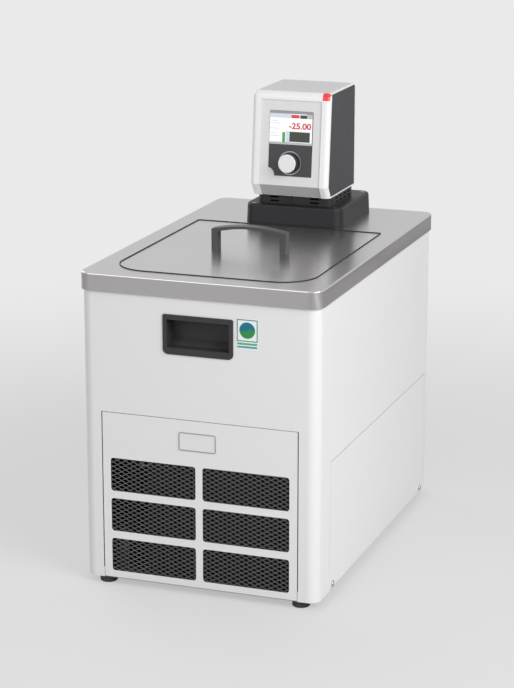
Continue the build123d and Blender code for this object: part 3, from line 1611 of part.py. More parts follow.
nodes["pump_rotor"] = make_pump_rotor()
nodes["heater_coil"] = make_heater_coil()
nodes["temperature_probe"] = make_temperature_probe()
nodes["float_stem"] = make_float_stem()
nodes["level_float"] = make_level_float()
nodes["hose_connectors"] = make_hose_connectors()
nodes["head_frame"] = make_head_frame()
nodes["corner_insert"] = make_corner_insert()
nodes["head_side_left"] = make_head_side(-1)
nodes["head_side_right"] = make_head_side(1)
nodes["head_rear_cover"] = make_head_rear_cover()
nodes["front_panel"] = make_front_panel()
nodes["display_glass"] = make_display_glass()
nodes["display_module"] = make_display_module()
nodes["head_circuit_board"] = make_head_circuit_board()
nodes["knob_ring"] = make_knob_ring()
nodes["encoder_body"] = make_encoder_body()
nodes["encoder_spindle"] = make_encoder_spindle()
nodes["control_knob"] = make_control_knob()
nodes["knob_cap"] = make_knob_cap()

save_all()
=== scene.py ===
"""Looks of a bench heating and cooling circulator, built piece by piece round its fixed model."""

import math

import bpy
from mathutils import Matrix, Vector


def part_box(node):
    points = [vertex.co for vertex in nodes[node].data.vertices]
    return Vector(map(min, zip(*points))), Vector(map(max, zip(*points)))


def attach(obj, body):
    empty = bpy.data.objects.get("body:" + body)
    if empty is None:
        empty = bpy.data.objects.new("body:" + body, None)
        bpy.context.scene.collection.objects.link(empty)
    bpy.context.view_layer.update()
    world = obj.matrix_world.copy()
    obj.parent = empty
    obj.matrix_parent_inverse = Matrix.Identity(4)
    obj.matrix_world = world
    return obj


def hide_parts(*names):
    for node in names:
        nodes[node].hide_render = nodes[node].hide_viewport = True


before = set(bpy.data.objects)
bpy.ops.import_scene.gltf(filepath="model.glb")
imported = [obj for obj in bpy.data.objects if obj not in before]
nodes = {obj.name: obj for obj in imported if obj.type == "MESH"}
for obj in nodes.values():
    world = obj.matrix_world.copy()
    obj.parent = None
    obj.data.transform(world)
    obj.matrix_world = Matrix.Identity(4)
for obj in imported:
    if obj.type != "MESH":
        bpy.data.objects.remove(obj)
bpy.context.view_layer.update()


# Viewpoint. The unit is seen from the front, 20 degrees round to its right and 15 degrees above,
# from some three and a half metres away, so the uprights stay nearly parallel.
camera_place = (1.1445, -3.2050, 1.2374)
camera_round, camera_above = 19.897, 15.115
focal_pixels, picture_height = 2211.28, 688
sensor_height, sight_end = 36, 60

bpy.ops.object.camera_add(location=camera_place)
viewer = bpy.context.object
viewer.name = "viewer"
viewer.rotation_euler = (math.radians(90 - camera_above), 0, math.radians(camera_round))
viewer.data.sensor_fit = "VERTICAL"
viewer.data.sensor_height = sensor_height
viewer.data.lens = focal_pixels / picture_height * sensor_height
viewer.data.clip_end = sight_end
bpy.context.scene.camera = viewer
bpy.context.scene.view_settings.view_transform = "Standard"


# Bench and light. A plain pale board that pales into the room, so no edge shows; in gloss it
# pales further off, so that metal shows the lit board near by. A strong soft box from the front
# right makes the right side and corner brightest; weak ones stand front left and behind.
bench_size, bench_top = 40.0, -0.0005
pale = (0.83, 0.825, 0.83, 1)
board = (0.62, 0.617, 0.62, 1)
board_cloud, cloud_scale = 0.985, 3.0
board_gloss = 0.6
bench_near, bench_far = 0.45, 2.0
gloss_near, gloss_far = 2.5, 8.0
bench_least, gloss_least = 0.55, 0.0
room_fill = 0.50


def number(tree, operation, *values):
    """One step of arithmetic on numbers or on other nodes' outputs."""
    step = tree.nodes.new("ShaderNodeMath")
    step.operation = operation
    for slot, value in enumerate(values):
        if isinstance(value, (int, float)):
            step.inputs[slot].default_value = value
        else:
            tree.links.new(value, step.inputs[slot])
    return step.outputs[0]


def fade(tree, distance, near, far, least):
    """Rise smoothly from the least share to one between two distances."""
    step = tree.nodes.new("ShaderNodeMapRange")
    step.interpolation_type = "SMOOTHSTEP"
    step.inputs["From Min"].default_value = near
    step.inputs["From Max"].default_value = far
    step.inputs["To Min"].default_value = least
    tree.links.new(distance, step.inputs["Value"])
    return step.outputs["Result"]


bpy.ops.mesh.primitive_plane_add(size=bench_size, location=(0, 0, bench_top))
bench = bpy.context.object
bench.name = "bench"
bench_paint = bpy.data.materials.new("bench_board")
bench_paint.use_nodes = True
tree = bench_paint.node_tree
bench_shader = tree.nodes["Principled BSDF"]
bench_shader.inputs["Roughness"].default_value = board_gloss
coords = tree.nodes.new("ShaderNodeTexCoord")
cloud = tree.nodes.new("ShaderNodeTexNoise")
cloud.inputs["Scale"].default_value = cloud_scale
tint = tree.nodes.new("ShaderNodeMix")
tint.data_type = "RGBA"
tint.inputs["A"].default_value = board
tint.inputs["B"].default_value = tuple(board_cloud * c for c in board[:3]) + (1,)
away = tree.nodes.new("ShaderNodeVectorMath")
away.operation = "LENGTH"
path = tree.nodes.new("ShaderNodeLightPath")
plain = tree.nodes.new("ShaderNodeEmission")
plain.inputs["Color"].default_value = pale
blend = tree.nodes.new("ShaderNodeMixShader")
tree.links.new(coords.outputs["Object"], cloud.inputs["Vector"])
tree.links.new(cloud.outputs["Fac"], tint.inputs["Factor"])
tree.links.new(tint.outputs["Result"], bench_shader.inputs["Base Color"])
tree.links.new(coords.outputs["Object"], away.inputs[0])
sharp = number(tree, "MAXIMUM", path.outputs["Is Glossy Ray"], path.outputs["Is Transmission Ray"])
sharp_share = number(tree, "MULTIPLY", sharp,
                     fade(tree, away.outputs["Value"], gloss_near, gloss_far, gloss_least))
seen_share = number(tree, "MULTIPLY", path.outputs["Is Camera Ray"],
                    fade(tree, away.outputs["Value"], bench_near, bench_far, bench_least))
tree.links.new(number(tree, "MAXIMUM", seen_share, sharp_share), blend.inputs["Fac"])
tree.links.new(bench_shader.outputs[0], blend.inputs[1])
tree.links.new(plain.outputs[0], blend.inputs[2])
tree.links.new(blend.outputs[0], tree.nodes["Material Output"].inputs["Surface"])
bench.data.materials.append(bench_paint)


def soft_box(name, place, aim, width, power):
    """Square soft box that looks at a point."""
    bpy.ops.object.light_add(type="AREA", location=place)
    lamp = bpy.context.object
    lamp.name = name
    lamp.data.shape = "SQUARE"
    lamp.data.size = width
    lamp.data.energy = power
    reach = [a - p for a, p in zip(aim, place)]
    flat = math.hypot(reach[0], reach[1])
    turn = math.atan2(reach[1], reach[0]) - math.pi / 2
    lamp.rotation_euler = (math.atan2(flat, -reach[2]), 0, turn)


soft_box("key_light", (2.1, -1.25, 1.75), aim=(0, 0, 0.3), width=1.5, power=56)
soft_box("front_light", (-1.6, -3.4, 2.2), aim=(0, 0, 0.35), width=2.2, power=30)
soft_box("back_light", (-2.9, 1.6, 1.9), aim=(0, 0, 0.3), width=2.0, power=30)

world = bpy.data.worlds.new("studio")
bpy.context.scene.world = world
world.use_nodes = True
tree = world.node_tree
tree.nodes.clear()
out = tree.nodes.new("ShaderNodeOutputWorld")
room = tree.nodes.new("ShaderNodeBackground")
room.inputs["Color"].default_value = pale
fill = tree.nodes.new("ShaderNodeBackground")
fill.inputs["Strength"].default_value = room_fill
path = tree.nodes.new("ShaderNodeLightPath")
mix = tree.nodes.new("ShaderNodeMixShader")
sharp = number(tree, "MAXIMUM", path.outputs["Is Glossy Ray"], path.outputs["Is Transmission Ray"])
seen = number(tree, "MAXIMUM", path.outputs["Is Camera Ray"], sharp)
tree.links.new(seen, mix.inputs["Fac"])
tree.links.new(fill.outputs[0], mix.inputs[1])
tree.links.new(room.outputs[0], mix.inputs[2])
tree.links.new(mix.outputs[0], out.inputs["Surface"])


# Case, covers and rear panel. Folded steel sheet with a white powder coat. The coat has a very
# fine orange peel and a slightly uneven gloss, as baked powder has.
uneven_scale = 9.0
relief_depth = 0.001
least_gloss = 0.02


def finish(name, colour, gloss, metal=0.0, tone=0.03, grain=500.0, relief=0.02, stretch=(1, 1, 1),
           patch=0.05, detail=3.0, coat=0.0, shine=0.5):
    """Surface of one colour with its own grain: stretched noise tints, roughens and embosses it."""
    material = bpy.data.materials.new(name)
    material.use_nodes = True
    tree = material.node_tree
    shader = tree.nodes["Principled BSDF"]
    shader.inputs["Metallic"].default_value = metal
    shader.inputs["Coat Weight"].default_value = coat
    shader.inputs["Specular IOR Level"].default_value = shine
    place = tree.nodes.new("ShaderNodeTexCoord")
    scale = tree.nodes.new("ShaderNodeMapping")
    scale.inputs["Scale"].default_value = stretch
    noise = tree.nodes.new("ShaderNodeTexNoise")
    noise.inputs["Scale"].default_value = grain
    noise.inputs["Detail"].default_value = detail
    wide = tree.nodes.new("ShaderNodeTexNoise")
    wide.inputs["Scale"].default_value = uneven_scale
    tint = tree.nodes.new("ShaderNodeMix")
    tint.data_type = "RGBA"
    tint.inputs["A"].default_value = tuple(c * (1 - tone) for c in colour) + (1,)
    tint.inputs["B"].default_value = tuple(min(1.0, c * (1 + tone)) for c in colour) + (1,)
    rough = tree.nodes.new("ShaderNodeMapRange")
    rough.inputs["To Min"].default_value = max(least_gloss, gloss - patch)
    rough.inputs["To Max"].default_value = gloss + patch
    bump = tree.nodes.new("ShaderNodeBump")
    bump.inputs["Strength"].default_value = relief
    bump.inputs["Distance"].default_value = relief_depth
    tree.links.new(place.outputs["Object"], scale.inputs["Vector"])
    tree.links.new(scale.outputs["Vector"], noise.inputs["Vector"])
    tree.links.new(place.outputs["Object"], wide.inputs["Vector"])
    tree.links.new(noise.outputs["Fac"], tint.inputs["Factor"])
    tree.links.new(tint.outputs["Result"], shader.inputs["Base Color"])
    tree.links.new(wide.outputs["Fac"], rough.inputs["Value"])
    tree.links.new(rough.outputs["Result"], shader.inputs["Roughness"])
    tree.links.new(noise.outputs["Fac"], bump.inputs["Height"])
    tree.links.new(bump.outputs["Normal"], shader.inputs["Normal"])
    return material


def dress(material, *names):
    """Give parts of the model their finish."""
    for name in names:
        nodes[name].data.materials.clear()
        nodes[name].data.materials.append(material)


def paint(tree, mask, under, over):
    """Lay one colour over another where the mask is one."""
    layer = tree.nodes.new("ShaderNodeMix")
    layer.data_type = "RGBA"
    for socket, colour in (("A", under), ("B", over)):
        if isinstance(colour, tuple):
            layer.inputs[socket].default_value = colour + (1,)
        else:
            tree.links.new(colour, layer.inputs[socket])
    tree.links.new(mask, layer.inputs["Factor"])
    return layer.outputs["Result"]


def box_paint(material, low, high, colour):
    """Give all that lies between two corners another colour."""
    tree = material.node_tree
    shader = tree.nodes["Principled BSDF"]
    place = tree.nodes.new("ShaderNodeTexCoord")
    split = tree.nodes.new("ShaderNodeSeparateXYZ")
    tree.links.new(place.outputs["Object"], split.inputs["Vector"])
    inside = [number(tree, "COMPARE", split.outputs[axis], (a + b) / 2, (b - a) / 2)
              for axis, a, b in zip("XYZ", low, high)]
    both = number(tree, "MULTIPLY", inside[0], inside[1])
    mask = number(tree, "MULTIPLY", both, inside[2])
    under = shader.inputs["Base Color"].links[0].from_socket
    tree.links.new(paint(tree, mask, under, colour), shader.inputs["Base Color"])


# The inside of the case is painted near black as painted shade, so that its cut edges and the
# joints between the panels read as dark lines.
case_low, case_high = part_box("case_wrap")
case_corner = 0.0195
case_skin = 0.0005
case_inside_shade = (0.030, 0.030, 0.032)
powder_coat = finish("white_powder_coat", (0.80, 0.79, 0.795), 0.38, tone=0.012, grain=1400,
                     relief=0.05)
# Painted shade on the sheet's inside, in two boxes that miss the rounded outer corners.
for side, end in ((case_corner, case_skin), (case_skin, case_corner)):
    box_paint(powder_coat, (case_low.x + side, case_low.y + end, case_low.z),
              (case_high.x - side, case_high.y - end, case_high.z), case_inside_shade)
dress(powder_coat, "case_wrap", "grille_panel", "side_cover_left", "side_cover_right", "rear_panel")


# Expanded mesh. One sheet of black-painted expanded steel behind the six windows. A single
# diamond is shaped and set back at its middle like a pulled strand, repeated over the sheet and
# trimmed.
mesh_pitch_x = 0.0133
mesh_pitch_z = 0.00705
mesh_strand = 0.00060
mesh_sheet = 0.0007
mesh_weld = 0.00002
mesh_low, mesh_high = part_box("expanded_mesh")
mesh_columns = math.ceil((mesh_high.x - mesh_low.x) / mesh_pitch_x) + 1
mesh_rows = math.ceil((mesh_high.z - mesh_low.z) / mesh_pitch_z) + 1


def clear_selection():
    """Leave nothing selected."""
    bpy.ops.object.select_all(action="DESELECT")


def only(*chosen):
    """Select these objects alone, the last one active."""
    clear_selection()
    for piece in chosen:
        piece.select_set(True)
    bpy.context.view_layer.objects.active = chosen[-1]


def settle(piece):
    """Put the piece's place, turn and size into its mesh."""
    only(piece)
    bpy.ops.object.transform_apply(location=True, rotation=True, scale=True)


def repeat(piece, count, offset):
    """Copy the piece's mesh along an offset, as many times as it takes."""
    row = piece.modifiers.new("row", "ARRAY")
    row.count = count
    row.use_relative_offset = False
    row.use_constant_offset = True
    row.constant_offset_displace = offset
    row.use_merge_vertices = True
    row.merge_threshold = mesh_weld
    only(piece)
    bpy.ops.object.modifier_apply(modifier=row.name)


clear_selection()
bpy.ops.mesh.primitive_circle_add(vertices=4, radius=0.5, fill_type="NGON",
                                  location=(mesh_low.x, mesh_low.y, mesh_low.z),
                                  rotation=(math.radians(90), 0, 0))
strands = bpy.context.object
strands.name = "expanded_strands"
strands.scale = (mesh_pitch_x, mesh_pitch_z, 1)
settle(strands)
bpy.ops.object.mode_set(mode="EDIT")
bpy.ops.mesh.select_all(action="SELECT")
bpy.ops.mesh.inset(thickness=mesh_strand, depth=0)
bpy.ops.transform.translate(value=(0, mesh_high.y - mesh_low.y - mesh_sheet, 0))
bpy.ops.mesh.delete(type="ONLY_FACE")
bpy.ops.mesh.select_all(action="SELECT")
bpy.ops.mesh.duplicate()
bpy.ops.transform.translate(value=(mesh_pitch_x / 2, 0, mesh_pitch_z / 2))
bpy.ops.object.mode_set(mode="OBJECT")
repeat(strands, mesh_columns, (mesh_pitch_x, 0, 0))
repeat(strands, mesh_rows, (0, 0, mesh_pitch_z))
bpy.ops.object.mode_set(mode="EDIT")
for corner, outwards in ((mesh_low, (-1, 0, 0)), (mesh_low, (0, 0, -1)),
                         (mesh_high, (1, 0, 0)), (mesh_high, (0, 0, 1))):
    bpy.ops.mesh.select_all(action="SELECT")
    bpy.ops.mesh.bisect(plane_co=corner, plane_no=outwards, clear_outer=True)
bpy.ops.mesh.select_all(action="SELECT")
bpy.ops.mesh.remove_doubles(threshold=mesh_weld)
bpy.ops.mesh.normals_make_consistent(inside=False)
bpy.ops.object.mode_set(mode="OBJECT")
wall = strands.modifiers.new("wall", "SOLIDIFY")
wall.thickness = mesh_sheet
wall.offset = 0
bpy.ops.object.modifier_apply(modifier=wall.name)
mesh_paint = finish("mesh_paint", (0.085, 0.082, 0.086), 0.42, tone=0.12, grain=900, relief=0.1)
strands.data.materials.append(mesh_paint)
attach(strands, "grille")
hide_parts("expanded_mesh")


# Plate on the grille panel. A small bare plate of silvery plastic with a raised grey edge, stuck
# above the windows.
plate_left, plate_right = -0.0313, 0.0272
plate_low, plate_high = 0.2276, 0.2556
plate_thick = 0.0010
plate_edge = 0.0011
plate_corner = 0.0030
plate_wall, plate_step = 0.0002, 0.0004
straight = 0.9
panel_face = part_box("grille_panel")[0].y


def unmark(piece):
    """Leave no face, edge or corner of the piece's mesh selected."""
    for parts in (piece.data.polygons, piece.data.edges, piece.data.vertices):
        for part in parts:
            part.select = False


def block(name, low, high):
    """Block between two corners, its place in its mesh, ready to be shaped."""
    clear_selection()
    bpy.ops.mesh.primitive_cube_add(size=1, location=[(a + b) / 2 for a, b in zip(low, high)])
    piece = bpy.context.object
    piece.name = name
    piece.scale = [b - a for a, b in zip(low, high)]
    settle(piece)
    return piece


def round_corners(piece, axis, width, segments=6):
    """Round the four edges that run along an axis."""
    only(piece)
    unmark(piece)
    bpy.context.tool_settings.mesh_select_mode = (False, True, False)
    for edge in piece.data.edges:
        a, b = (piece.data.vertices[i].co for i in edge.vertices)
        edge.select = abs((b - a).normalized()[axis]) > straight
    bpy.ops.object.mode_set(mode="EDIT")
    bpy.ops.mesh.bevel(offset=width, segments=segments, affect="EDGES")
    bpy.context.tool_settings.mesh_select_mode = (False, False, True)
    bpy.ops.object.mode_set(mode="OBJECT")


name_plate = block("plain_plate", (plate_left, panel_face - plate_thick, plate_low),
                   (plate_right, panel_face, plate_high))
round_corners(name_plate, 1, plate_corner)
unmark(name_plate)
for face in name_plate.data.polygons:
    face.select = face.normal.y < -straight
bpy.ops.object.mode_set(mode="EDIT")
bpy.ops.mesh.inset(thickness=plate_edge, depth=0)
bpy.ops.mesh.inset(thickness=plate_wall, depth=-plate_step)
bpy.ops.object.mode_set(mode="OBJECT")
plate_silver = finish("plate_silver", (0.78, 0.77, 0.77), 0.35, tone=0.02, grain=700, relief=0.02)
plate_grey = finish("plate_edge_grey", (0.30, 0.29, 0.30), 0.4, tone=0.03, grain=600)
name_plate.data.materials.append(plate_grey)
name_plate.data.materials.append(plate_silver)
for face in name_plate.data.polygons:
    if face.normal.y < -straight and face.center.y > panel_face - plate_thick + plate_step / 2:
        face.material_index = 1
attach(name_plate, "grille")


# Feet, floor pan and screws. Turned rubber feet under a galvanised pan, and plated socket screws
# in the covers.
rubber = finish("foot_rubber", (0.035, 0.035, 0.036), 0.72, tone=0.10, grain=420, relief=0.15)
galvanised = finish("galvanised_sheet", (0.34, 0.345, 0.35), 0.42, metal=0.9, tone=0.16, grain=60,
                    relief=0.03, patch=0.10)
screw_steel = finish("plated_screw", (0.66, 0.66, 0.67), 0.26, metal=1.0, tone=0.05, grain=1500,
                     relief=0.05, stretch=(1, 1, 6))
dress(rubber, "feet", "compressor_mounts")
dress(galvanised, "base_pan", "fan_shroud", "electrics_box")
dress(screw_steel, "case_screws", "lid_handle_screws", "pedestal_screws", "encoder_spindle")


# Carrying grips. Moulded black plastic cups with a spark-eroded grain, snapped into the sheet.
# The drain valve's lever is of the same plastic.
grip_plastic = finish("grip_plastic", (0.036, 0.034, 0.036), 0.50, tone=0.10, grain=1600,
                      relief=0.22, shine=0.35)
dress(grip_plastic, "front_grip", "rear_grip", "drain_lever")


# Sticker beside the grip. A printed film label: a plain two-colour roundel in a teal frame, with
# two bars below it where the words would be.
label_left, label_right = 0.0604, 0.0935
label_low, label_high = 0.3920, 0.4375
label_film, label_corner, label_gloss = 0.0002, 0.0022, 0.32
roundel_radius, roundel_lift = 0.0122, 0.0060
wave_pitch, wave_height = 300.0, 0.0022
frame_margin, frame_bar, frame_low = 0.0004, 0.0016, -0.0110
bar_reach = 0.0155
bars = ((-0.0160, -0.0128, (0.08, 0.42, 0.20)), (-0.0206, -0.0176, (0.10, 0.32, 0.36)))
ground, teal, roundel_green, roundel_blue = ((0.84, 0.88, 0.87), (0.05, 0.26, 0.28),
                                             (0.02, 0.26, 0.06), (0.0, 0.16, 0.24))
case_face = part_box("case_wrap")[0].y
label = block("film_label", (label_left, case_face - label_film, label_low),
              (label_right, case_face, label_high))
round_corners(label, 1, label_corner, 4)
label_print = bpy.data.materials.new("label_print")
label_print.use_nodes = True
tree = label_print.node_tree
shader = tree.nodes["Principled BSDF"]
shader.inputs["Roughness"].default_value = label_gloss
place = tree.nodes.new("ShaderNodeTexCoord")
centre = tree.nodes.new("ShaderNodeMapping")
centre.inputs["Location"].default_value = (-(label_left + label_right) / 2, 0,
                                           -(label_low + label_high) / 2)
split = tree.nodes.new("ShaderNodeSeparateXYZ")
tree.links.new(place.outputs["Object"], centre.inputs["Vector"])
tree.links.new(centre.outputs["Vector"], split.inputs["Vector"])


def within(tree, x, z, left, right, low, high):
    """One inside a rectangle, nought outside."""
    across = number(tree, "COMPARE", x, (left + right) / 2, (right - left) / 2)
    up = number(tree, "COMPARE", z, (low + high) / 2, (high - low) / 2)
    return number(tree, "MULTIPLY", across, up)


label_x, label_z = split.outputs["X"], split.outputs["Z"]
round_x = number(tree, "MULTIPLY", label_x, label_x)
lifted = number(tree, "SUBTRACT", label_z, roundel_lift)
round_z = number(tree, "MULTIPLY", lifted, lifted)
distance = number(tree, "SQRT", number(tree, "ADD", round_x, round_z))
swing = number(tree, "SINE", number(tree, "MULTIPLY", label_x, wave_pitch))
wave = number(tree, "MULTIPLY", swing, wave_height)
upper = number(tree, "GREATER_THAN", number(tree, "SUBTRACT", lifted, wave), 0.0)
roundel = number(tree, "LESS_THAN", distance, roundel_radius)
half_width = (label_right - label_left) / 2 - frame_margin
half_height = (label_high - label_low) / 2 - frame_margin
frame_out = within(tree, label_x, label_z, -half_width, half_width, frame_low, half_height)
frame_in = within(tree, label_x, label_z, -half_width + frame_bar, half_width - frame_bar,
                  frame_low + frame_bar, half_height - frame_bar)
two_tone = paint(tree, upper, roundel_green, roundel_blue)
frame_print = paint(tree, frame_out, ground, teal)
field_print = paint(tree, frame_in, frame_print, ground)
label_colour = paint(tree, roundel, field_print, two_tone)
for low, high, bar_colour in bars:
    bar = within(tree, label_x, label_z, -bar_reach, bar_reach, low, high)
    label_colour = paint(tree, bar, label_colour, bar_colour)
tree.links.new(label_colour, shader.inputs["Base Color"])
label.data.materials.append(label_print)
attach(label, "base")


# Deck, rim and lid. Brushed stainless sheet. The grain runs across the unit, and the lid lies
# flush in it.
shine_draw = 0.7


def brushed(name, colour, gloss, stretch, axis="X"):
    """Brushed steel: long fine scratches, and a shine drawn out across them."""
    steel = finish(name, colour, gloss, metal=1.0, tone=0.035, grain=260, relief=0.02,
                   stretch=stretch, patch=0.02, detail=4.0)
    tree = steel.node_tree
    shader = tree.nodes["Principled BSDF"]
    shader.inputs["Anisotropic"].default_value = shine_draw
    drawn = tree.nodes.new("ShaderNodeTangent")
    drawn.direction_type = "RADIAL"
    drawn.axis = axis
    tree.links.new(drawn.outputs["Tangent"], shader.inputs["Tangent"])
    return steel


# The groove round the lid is in deep shade, so its walls are painted darker. The skirt that hangs
# from the deck over the case is painted greyer: painted shade for the darker reflection it shows.
groove_low, groove_high = (-0.170, -0.285, 0.470), (0.170, 0.290, 0.48732)
groove_shade = (0.020, 0.020, 0.021)
skirt_low, skirt_high = (-0.20, -0.31, 0.455), (0.20, 0.31, 0.4852)
skirt_painted_shade = (0.49, 0.475, 0.48)
deck_steel = brushed("brushed_deck", (0.60, 0.59, 0.593), 0.28, (0.03, 5.0, 5.0))
lid_steel = brushed("brushed_lid", (0.60, 0.59, 0.593), 0.24, (0.03, 5.0, 5.0))
bath_steel = brushed("bath_steel", (0.50, 0.50, 0.51), 0.24, (1.0, 1.0, 0.1), axis="Z")
# Painted shade: the skirt, the same steel as the deck, painted greyer.
box_paint(deck_steel, skirt_low, skirt_high, skirt_painted_shade)
for steel in (deck_steel, lid_steel):
    box_paint(steel, groove_low, groove_high, groove_shade)
dress(deck_steel, "top_deck")
dress(lid_steel, "lid")
dress(bath_steel, "bath_tank", "immersion_plate", "pump_housing", "pump_rotor", "heater_coil",
      "temperature_probe", "float_stem")


# Lid seal. A thin black rubber bead lies in the groove round the lid and stands a little above
# the deck. Its outline follows the lid: large round corners in front, small ones at the back.
lid_low, lid_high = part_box("lid")
seal_gap = 0.0001
seal_width = 0.0010
seal_low, seal_rise = 0.4845, 0.0043
front_corner, back_corner = 0.0563, 0.0043
corner_steps = 14
same_place = 1e-5

clear_selection()
bpy.ops.mesh.primitive_plane_add(size=1, location=((lid_low.x + lid_high.x) / 2,
                                                   (lid_low.y + lid_high.y) / 2, seal_low))
seal = bpy.context.object
seal.name = "lid_seal"
seal_reach = 2 * (seal_gap + seal_width)
seal.scale = (lid_high.x - lid_low.x + seal_reach, lid_high.y - lid_low.y + seal_reach, 1)
settle(seal)
bpy.context.tool_settings.mesh_select_mode = (True, False, False)
for corner, at_front in ((front_corner, True), (back_corner, False)):
    unmark(seal)
    reach = [vertex.co.y for vertex in seal.data.vertices]
    wanted = min(reach) if at_front else max(reach)
    for vertex in seal.data.vertices:
        vertex.select = abs(vertex.co.y - wanted) < same_place
    bpy.ops.object.mode_set(mode="EDIT")
    bpy.ops.mesh.bevel(offset=corner, segments=corner_steps, affect="VERTICES")
    bpy.ops.object.mode_set(mode="OBJECT")
bpy.context.tool_settings.mesh_select_mode = (False, False, True)
bpy.ops.object.mode_set(mode="EDIT")
bpy.ops.mesh.select_all(action="SELECT")
bpy.ops.mesh.inset(thickness=seal_width, depth=0)
bpy.ops.mesh.delete(type="FACE")
bpy.ops.mesh.select_all(action="SELECT")
bpy.ops.mesh.extrude_region_move(TRANSFORM_OT_translate={"value": (0, 0, seal_rise)})
bpy.ops.mesh.select_all(action="SELECT")
bpy.ops.mesh.normals_make_consistent(inside=False)
bpy.ops.object.mode_set(mode="OBJECT")
seal_rubber = finish("seal_rubber", (0.020, 0.020, 0.021), 0.60, tone=0.10, grain=900,
                     relief=0.10, shine=0.3)
seal.data.materials.append(seal_rubber)
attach(seal, "base")


# Lid handle. Moulded black bow on two screws through the lid. Its plastic is a little smoother
# and glossier than that of the grips.
handle_plastic = finish("handle_plastic", (0.044, 0.043, 0.044), 0.36, tone=0.08, grain=1300,
                        relief=0.08)
dress(handle_plastic, "lid_handle")


# Cooling side, behind the grille. Copper coil and pipes, black rubber foam, an enamelled
# compressor, and a finned condenser with its fan, all in dark shade behind the mesh.
foam = finish("black_foam", (0.028, 0.028, 0.029), 0.88, tone=0.15, grain=180, relief=0.5,
              shine=0.3)
copper = finish("copper_tube", (0.40, 0.19, 0.11), 0.34, metal=1.0, tone=0.12, grain=90,
                relief=0.05, patch=0.12)
enamel = finish("black_enamel", (0.014, 0.014, 0.015), 0.30, tone=0.10, grain=500, relief=0.06)
condenser_paint = finish("condenser_paint", (0.009, 0.009, 0.010), 0.62, tone=0.2, grain=300,
                         relief=0.2, shine=0.2)
moulded_black = finish("moulded_black", (0.030, 0.030, 0.032), 0.50, tone=0.10, grain=1200,
                       relief=0.12)
dress(foam, "tank_insulation", "drain_pipe")
dress(copper, "evaporator_coil", "refrigerant_pipes", "filter_drier")
dress(enamel, "compressor", "fan_motor", "pump_motor")
dress(condenser_paint, "condenser")
dress(moulded_black, "fan_rotor", "compressor_terminal_cover", "level_float", "encoder_body")


# Drain. Darkened brass valve with a quarter-turn lever behind the grille panel, on a pipe in its
# foam sleeve, and nickel-plated unions for the hoses.
nickel = finish("nickel_plate", (0.60, 0.57, 0.52), 0.25, metal=1.0, tone=0.06, grain=800,
                relief=0.04)
dark_brass = finish("dark_brass", (0.16, 0.13, 0.09), 0.42, metal=0.9, tone=0.12, grain=700,
                    relief=0.06)
dress(dark_brass, "drain_valve")
dress(nickel, "hose_connectors")


# Mains inlet and switch. Moulded socket and rocker in the rear panel; the contact pins are the
# socket's own.
socket_plastic = finish("socket_plastic", (0.028, 0.028, 0.029), 0.44, tone=0.08, grain=1500,
                        relief=0.10)
rocker_plastic = finish("rocker_plastic", (0.020, 0.020, 0.021), 0.28, tone=0.06, grain=1500,
                        relief=0.03)
dress(socket_plastic, "mains_inlet", "mains_switch_body")
dress(rocker_plastic, "mains_rocker")


# Pedestal and neck. Near-black moulded plastic with a satin texture; the slotted neck is the same
# moulding.
pedestal_plastic = finish("pedestal_plastic", (0.015, 0.014, 0.016), 0.46, tone=0.08, grain=1500,
                          relief=0.15, shine=0.30)
neck_plastic = finish("neck_plastic", (0.018, 0.018, 0.019), 0.45, tone=0.08, grain=1500,
                      relief=0.15, shine=0.35)
dress(pedestal_plastic, "pedestal")
dress(neck_plastic, "collar")


# Control head. White moulded frame with a greyer top, grey-violet covers, a silver front panel with
# a chin painted darker as shade, a red insert at the brow's corner, and the green circuit board
# inside.
frame_border, top_grey, chin_painted_shade = 0.0035, (0.60, 0.60, 0.60), (0.42, 0.415, 0.42)
top_front, top_back, top_under, top_over = 0.1170, 0.2360, 0.7060, 0.7070
chin_low, chin_high = (-0.10, 0.08, 0.53), (0.10, 0.14, 0.5572)
head_white = finish("head_white", (0.84, 0.84, 0.84), 0.33, tone=0.010, grain=1500, relief=0.04)
head_low, head_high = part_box("head_frame")
box_paint(head_white, (head_low.x + frame_border, top_front, top_under),
          (head_high.x - frame_border, top_back, top_over), top_grey)
head_grey = finish("head_grey", (0.044, 0.041, 0.047), 0.52, tone=0.06, grain=1700, relief=0.20,
                   shine=0.35)
panel_silver = finish("panel_silver", (0.72, 0.715, 0.72), 0.40, tone=0.02, grain=1600, relief=0.06)
# Painted shade: the chin, bent down from the silver panel, painted darker.
box_paint(panel_silver, chin_low, chin_high, chin_painted_shade)
insert_red = finish("insert_red", (0.82, 0.045, 0.045), 0.30, tone=0.03, grain=900, relief=0.03)
board_green = finish("board_green", (0.015, 0.16, 0.06), 0.35, tone=0.15, grain=400, relief=0.1)
dress(head_white, "head_frame")
dress(head_grey, "head_side_left", "head_side_right", "head_rear_cover")
dress(panel_silver, "front_panel")
dress(insert_red, "corner_insert")
dress(board_green, "head_circuit_board")


# Screen. Dark glass over the whole field. The picture is a pale one with a header, a red and a
# dark key, red figures, a green bar and a small chart; it is laid on the leaning glass.
face_back, face_rise = 15, 149.5
face_lean = math.atan(face_back / face_rise)
face_foot = (0, 0.0925, 0.557)
glass_back = 0.0013
screen_film = 0.00012
screen_gloss = 0.22
dark_glass = finish("dark_glass", (0.040, 0.038, 0.042), 0.16, tone=0.05, grain=300,
                    relief=0.0, coat=0.3)
module_black = finish("module_black", (0.020, 0.020, 0.022), 0.30, tone=0.05, grain=700)
dress(dark_glass, "display_glass")
dress(module_black, "display_module")


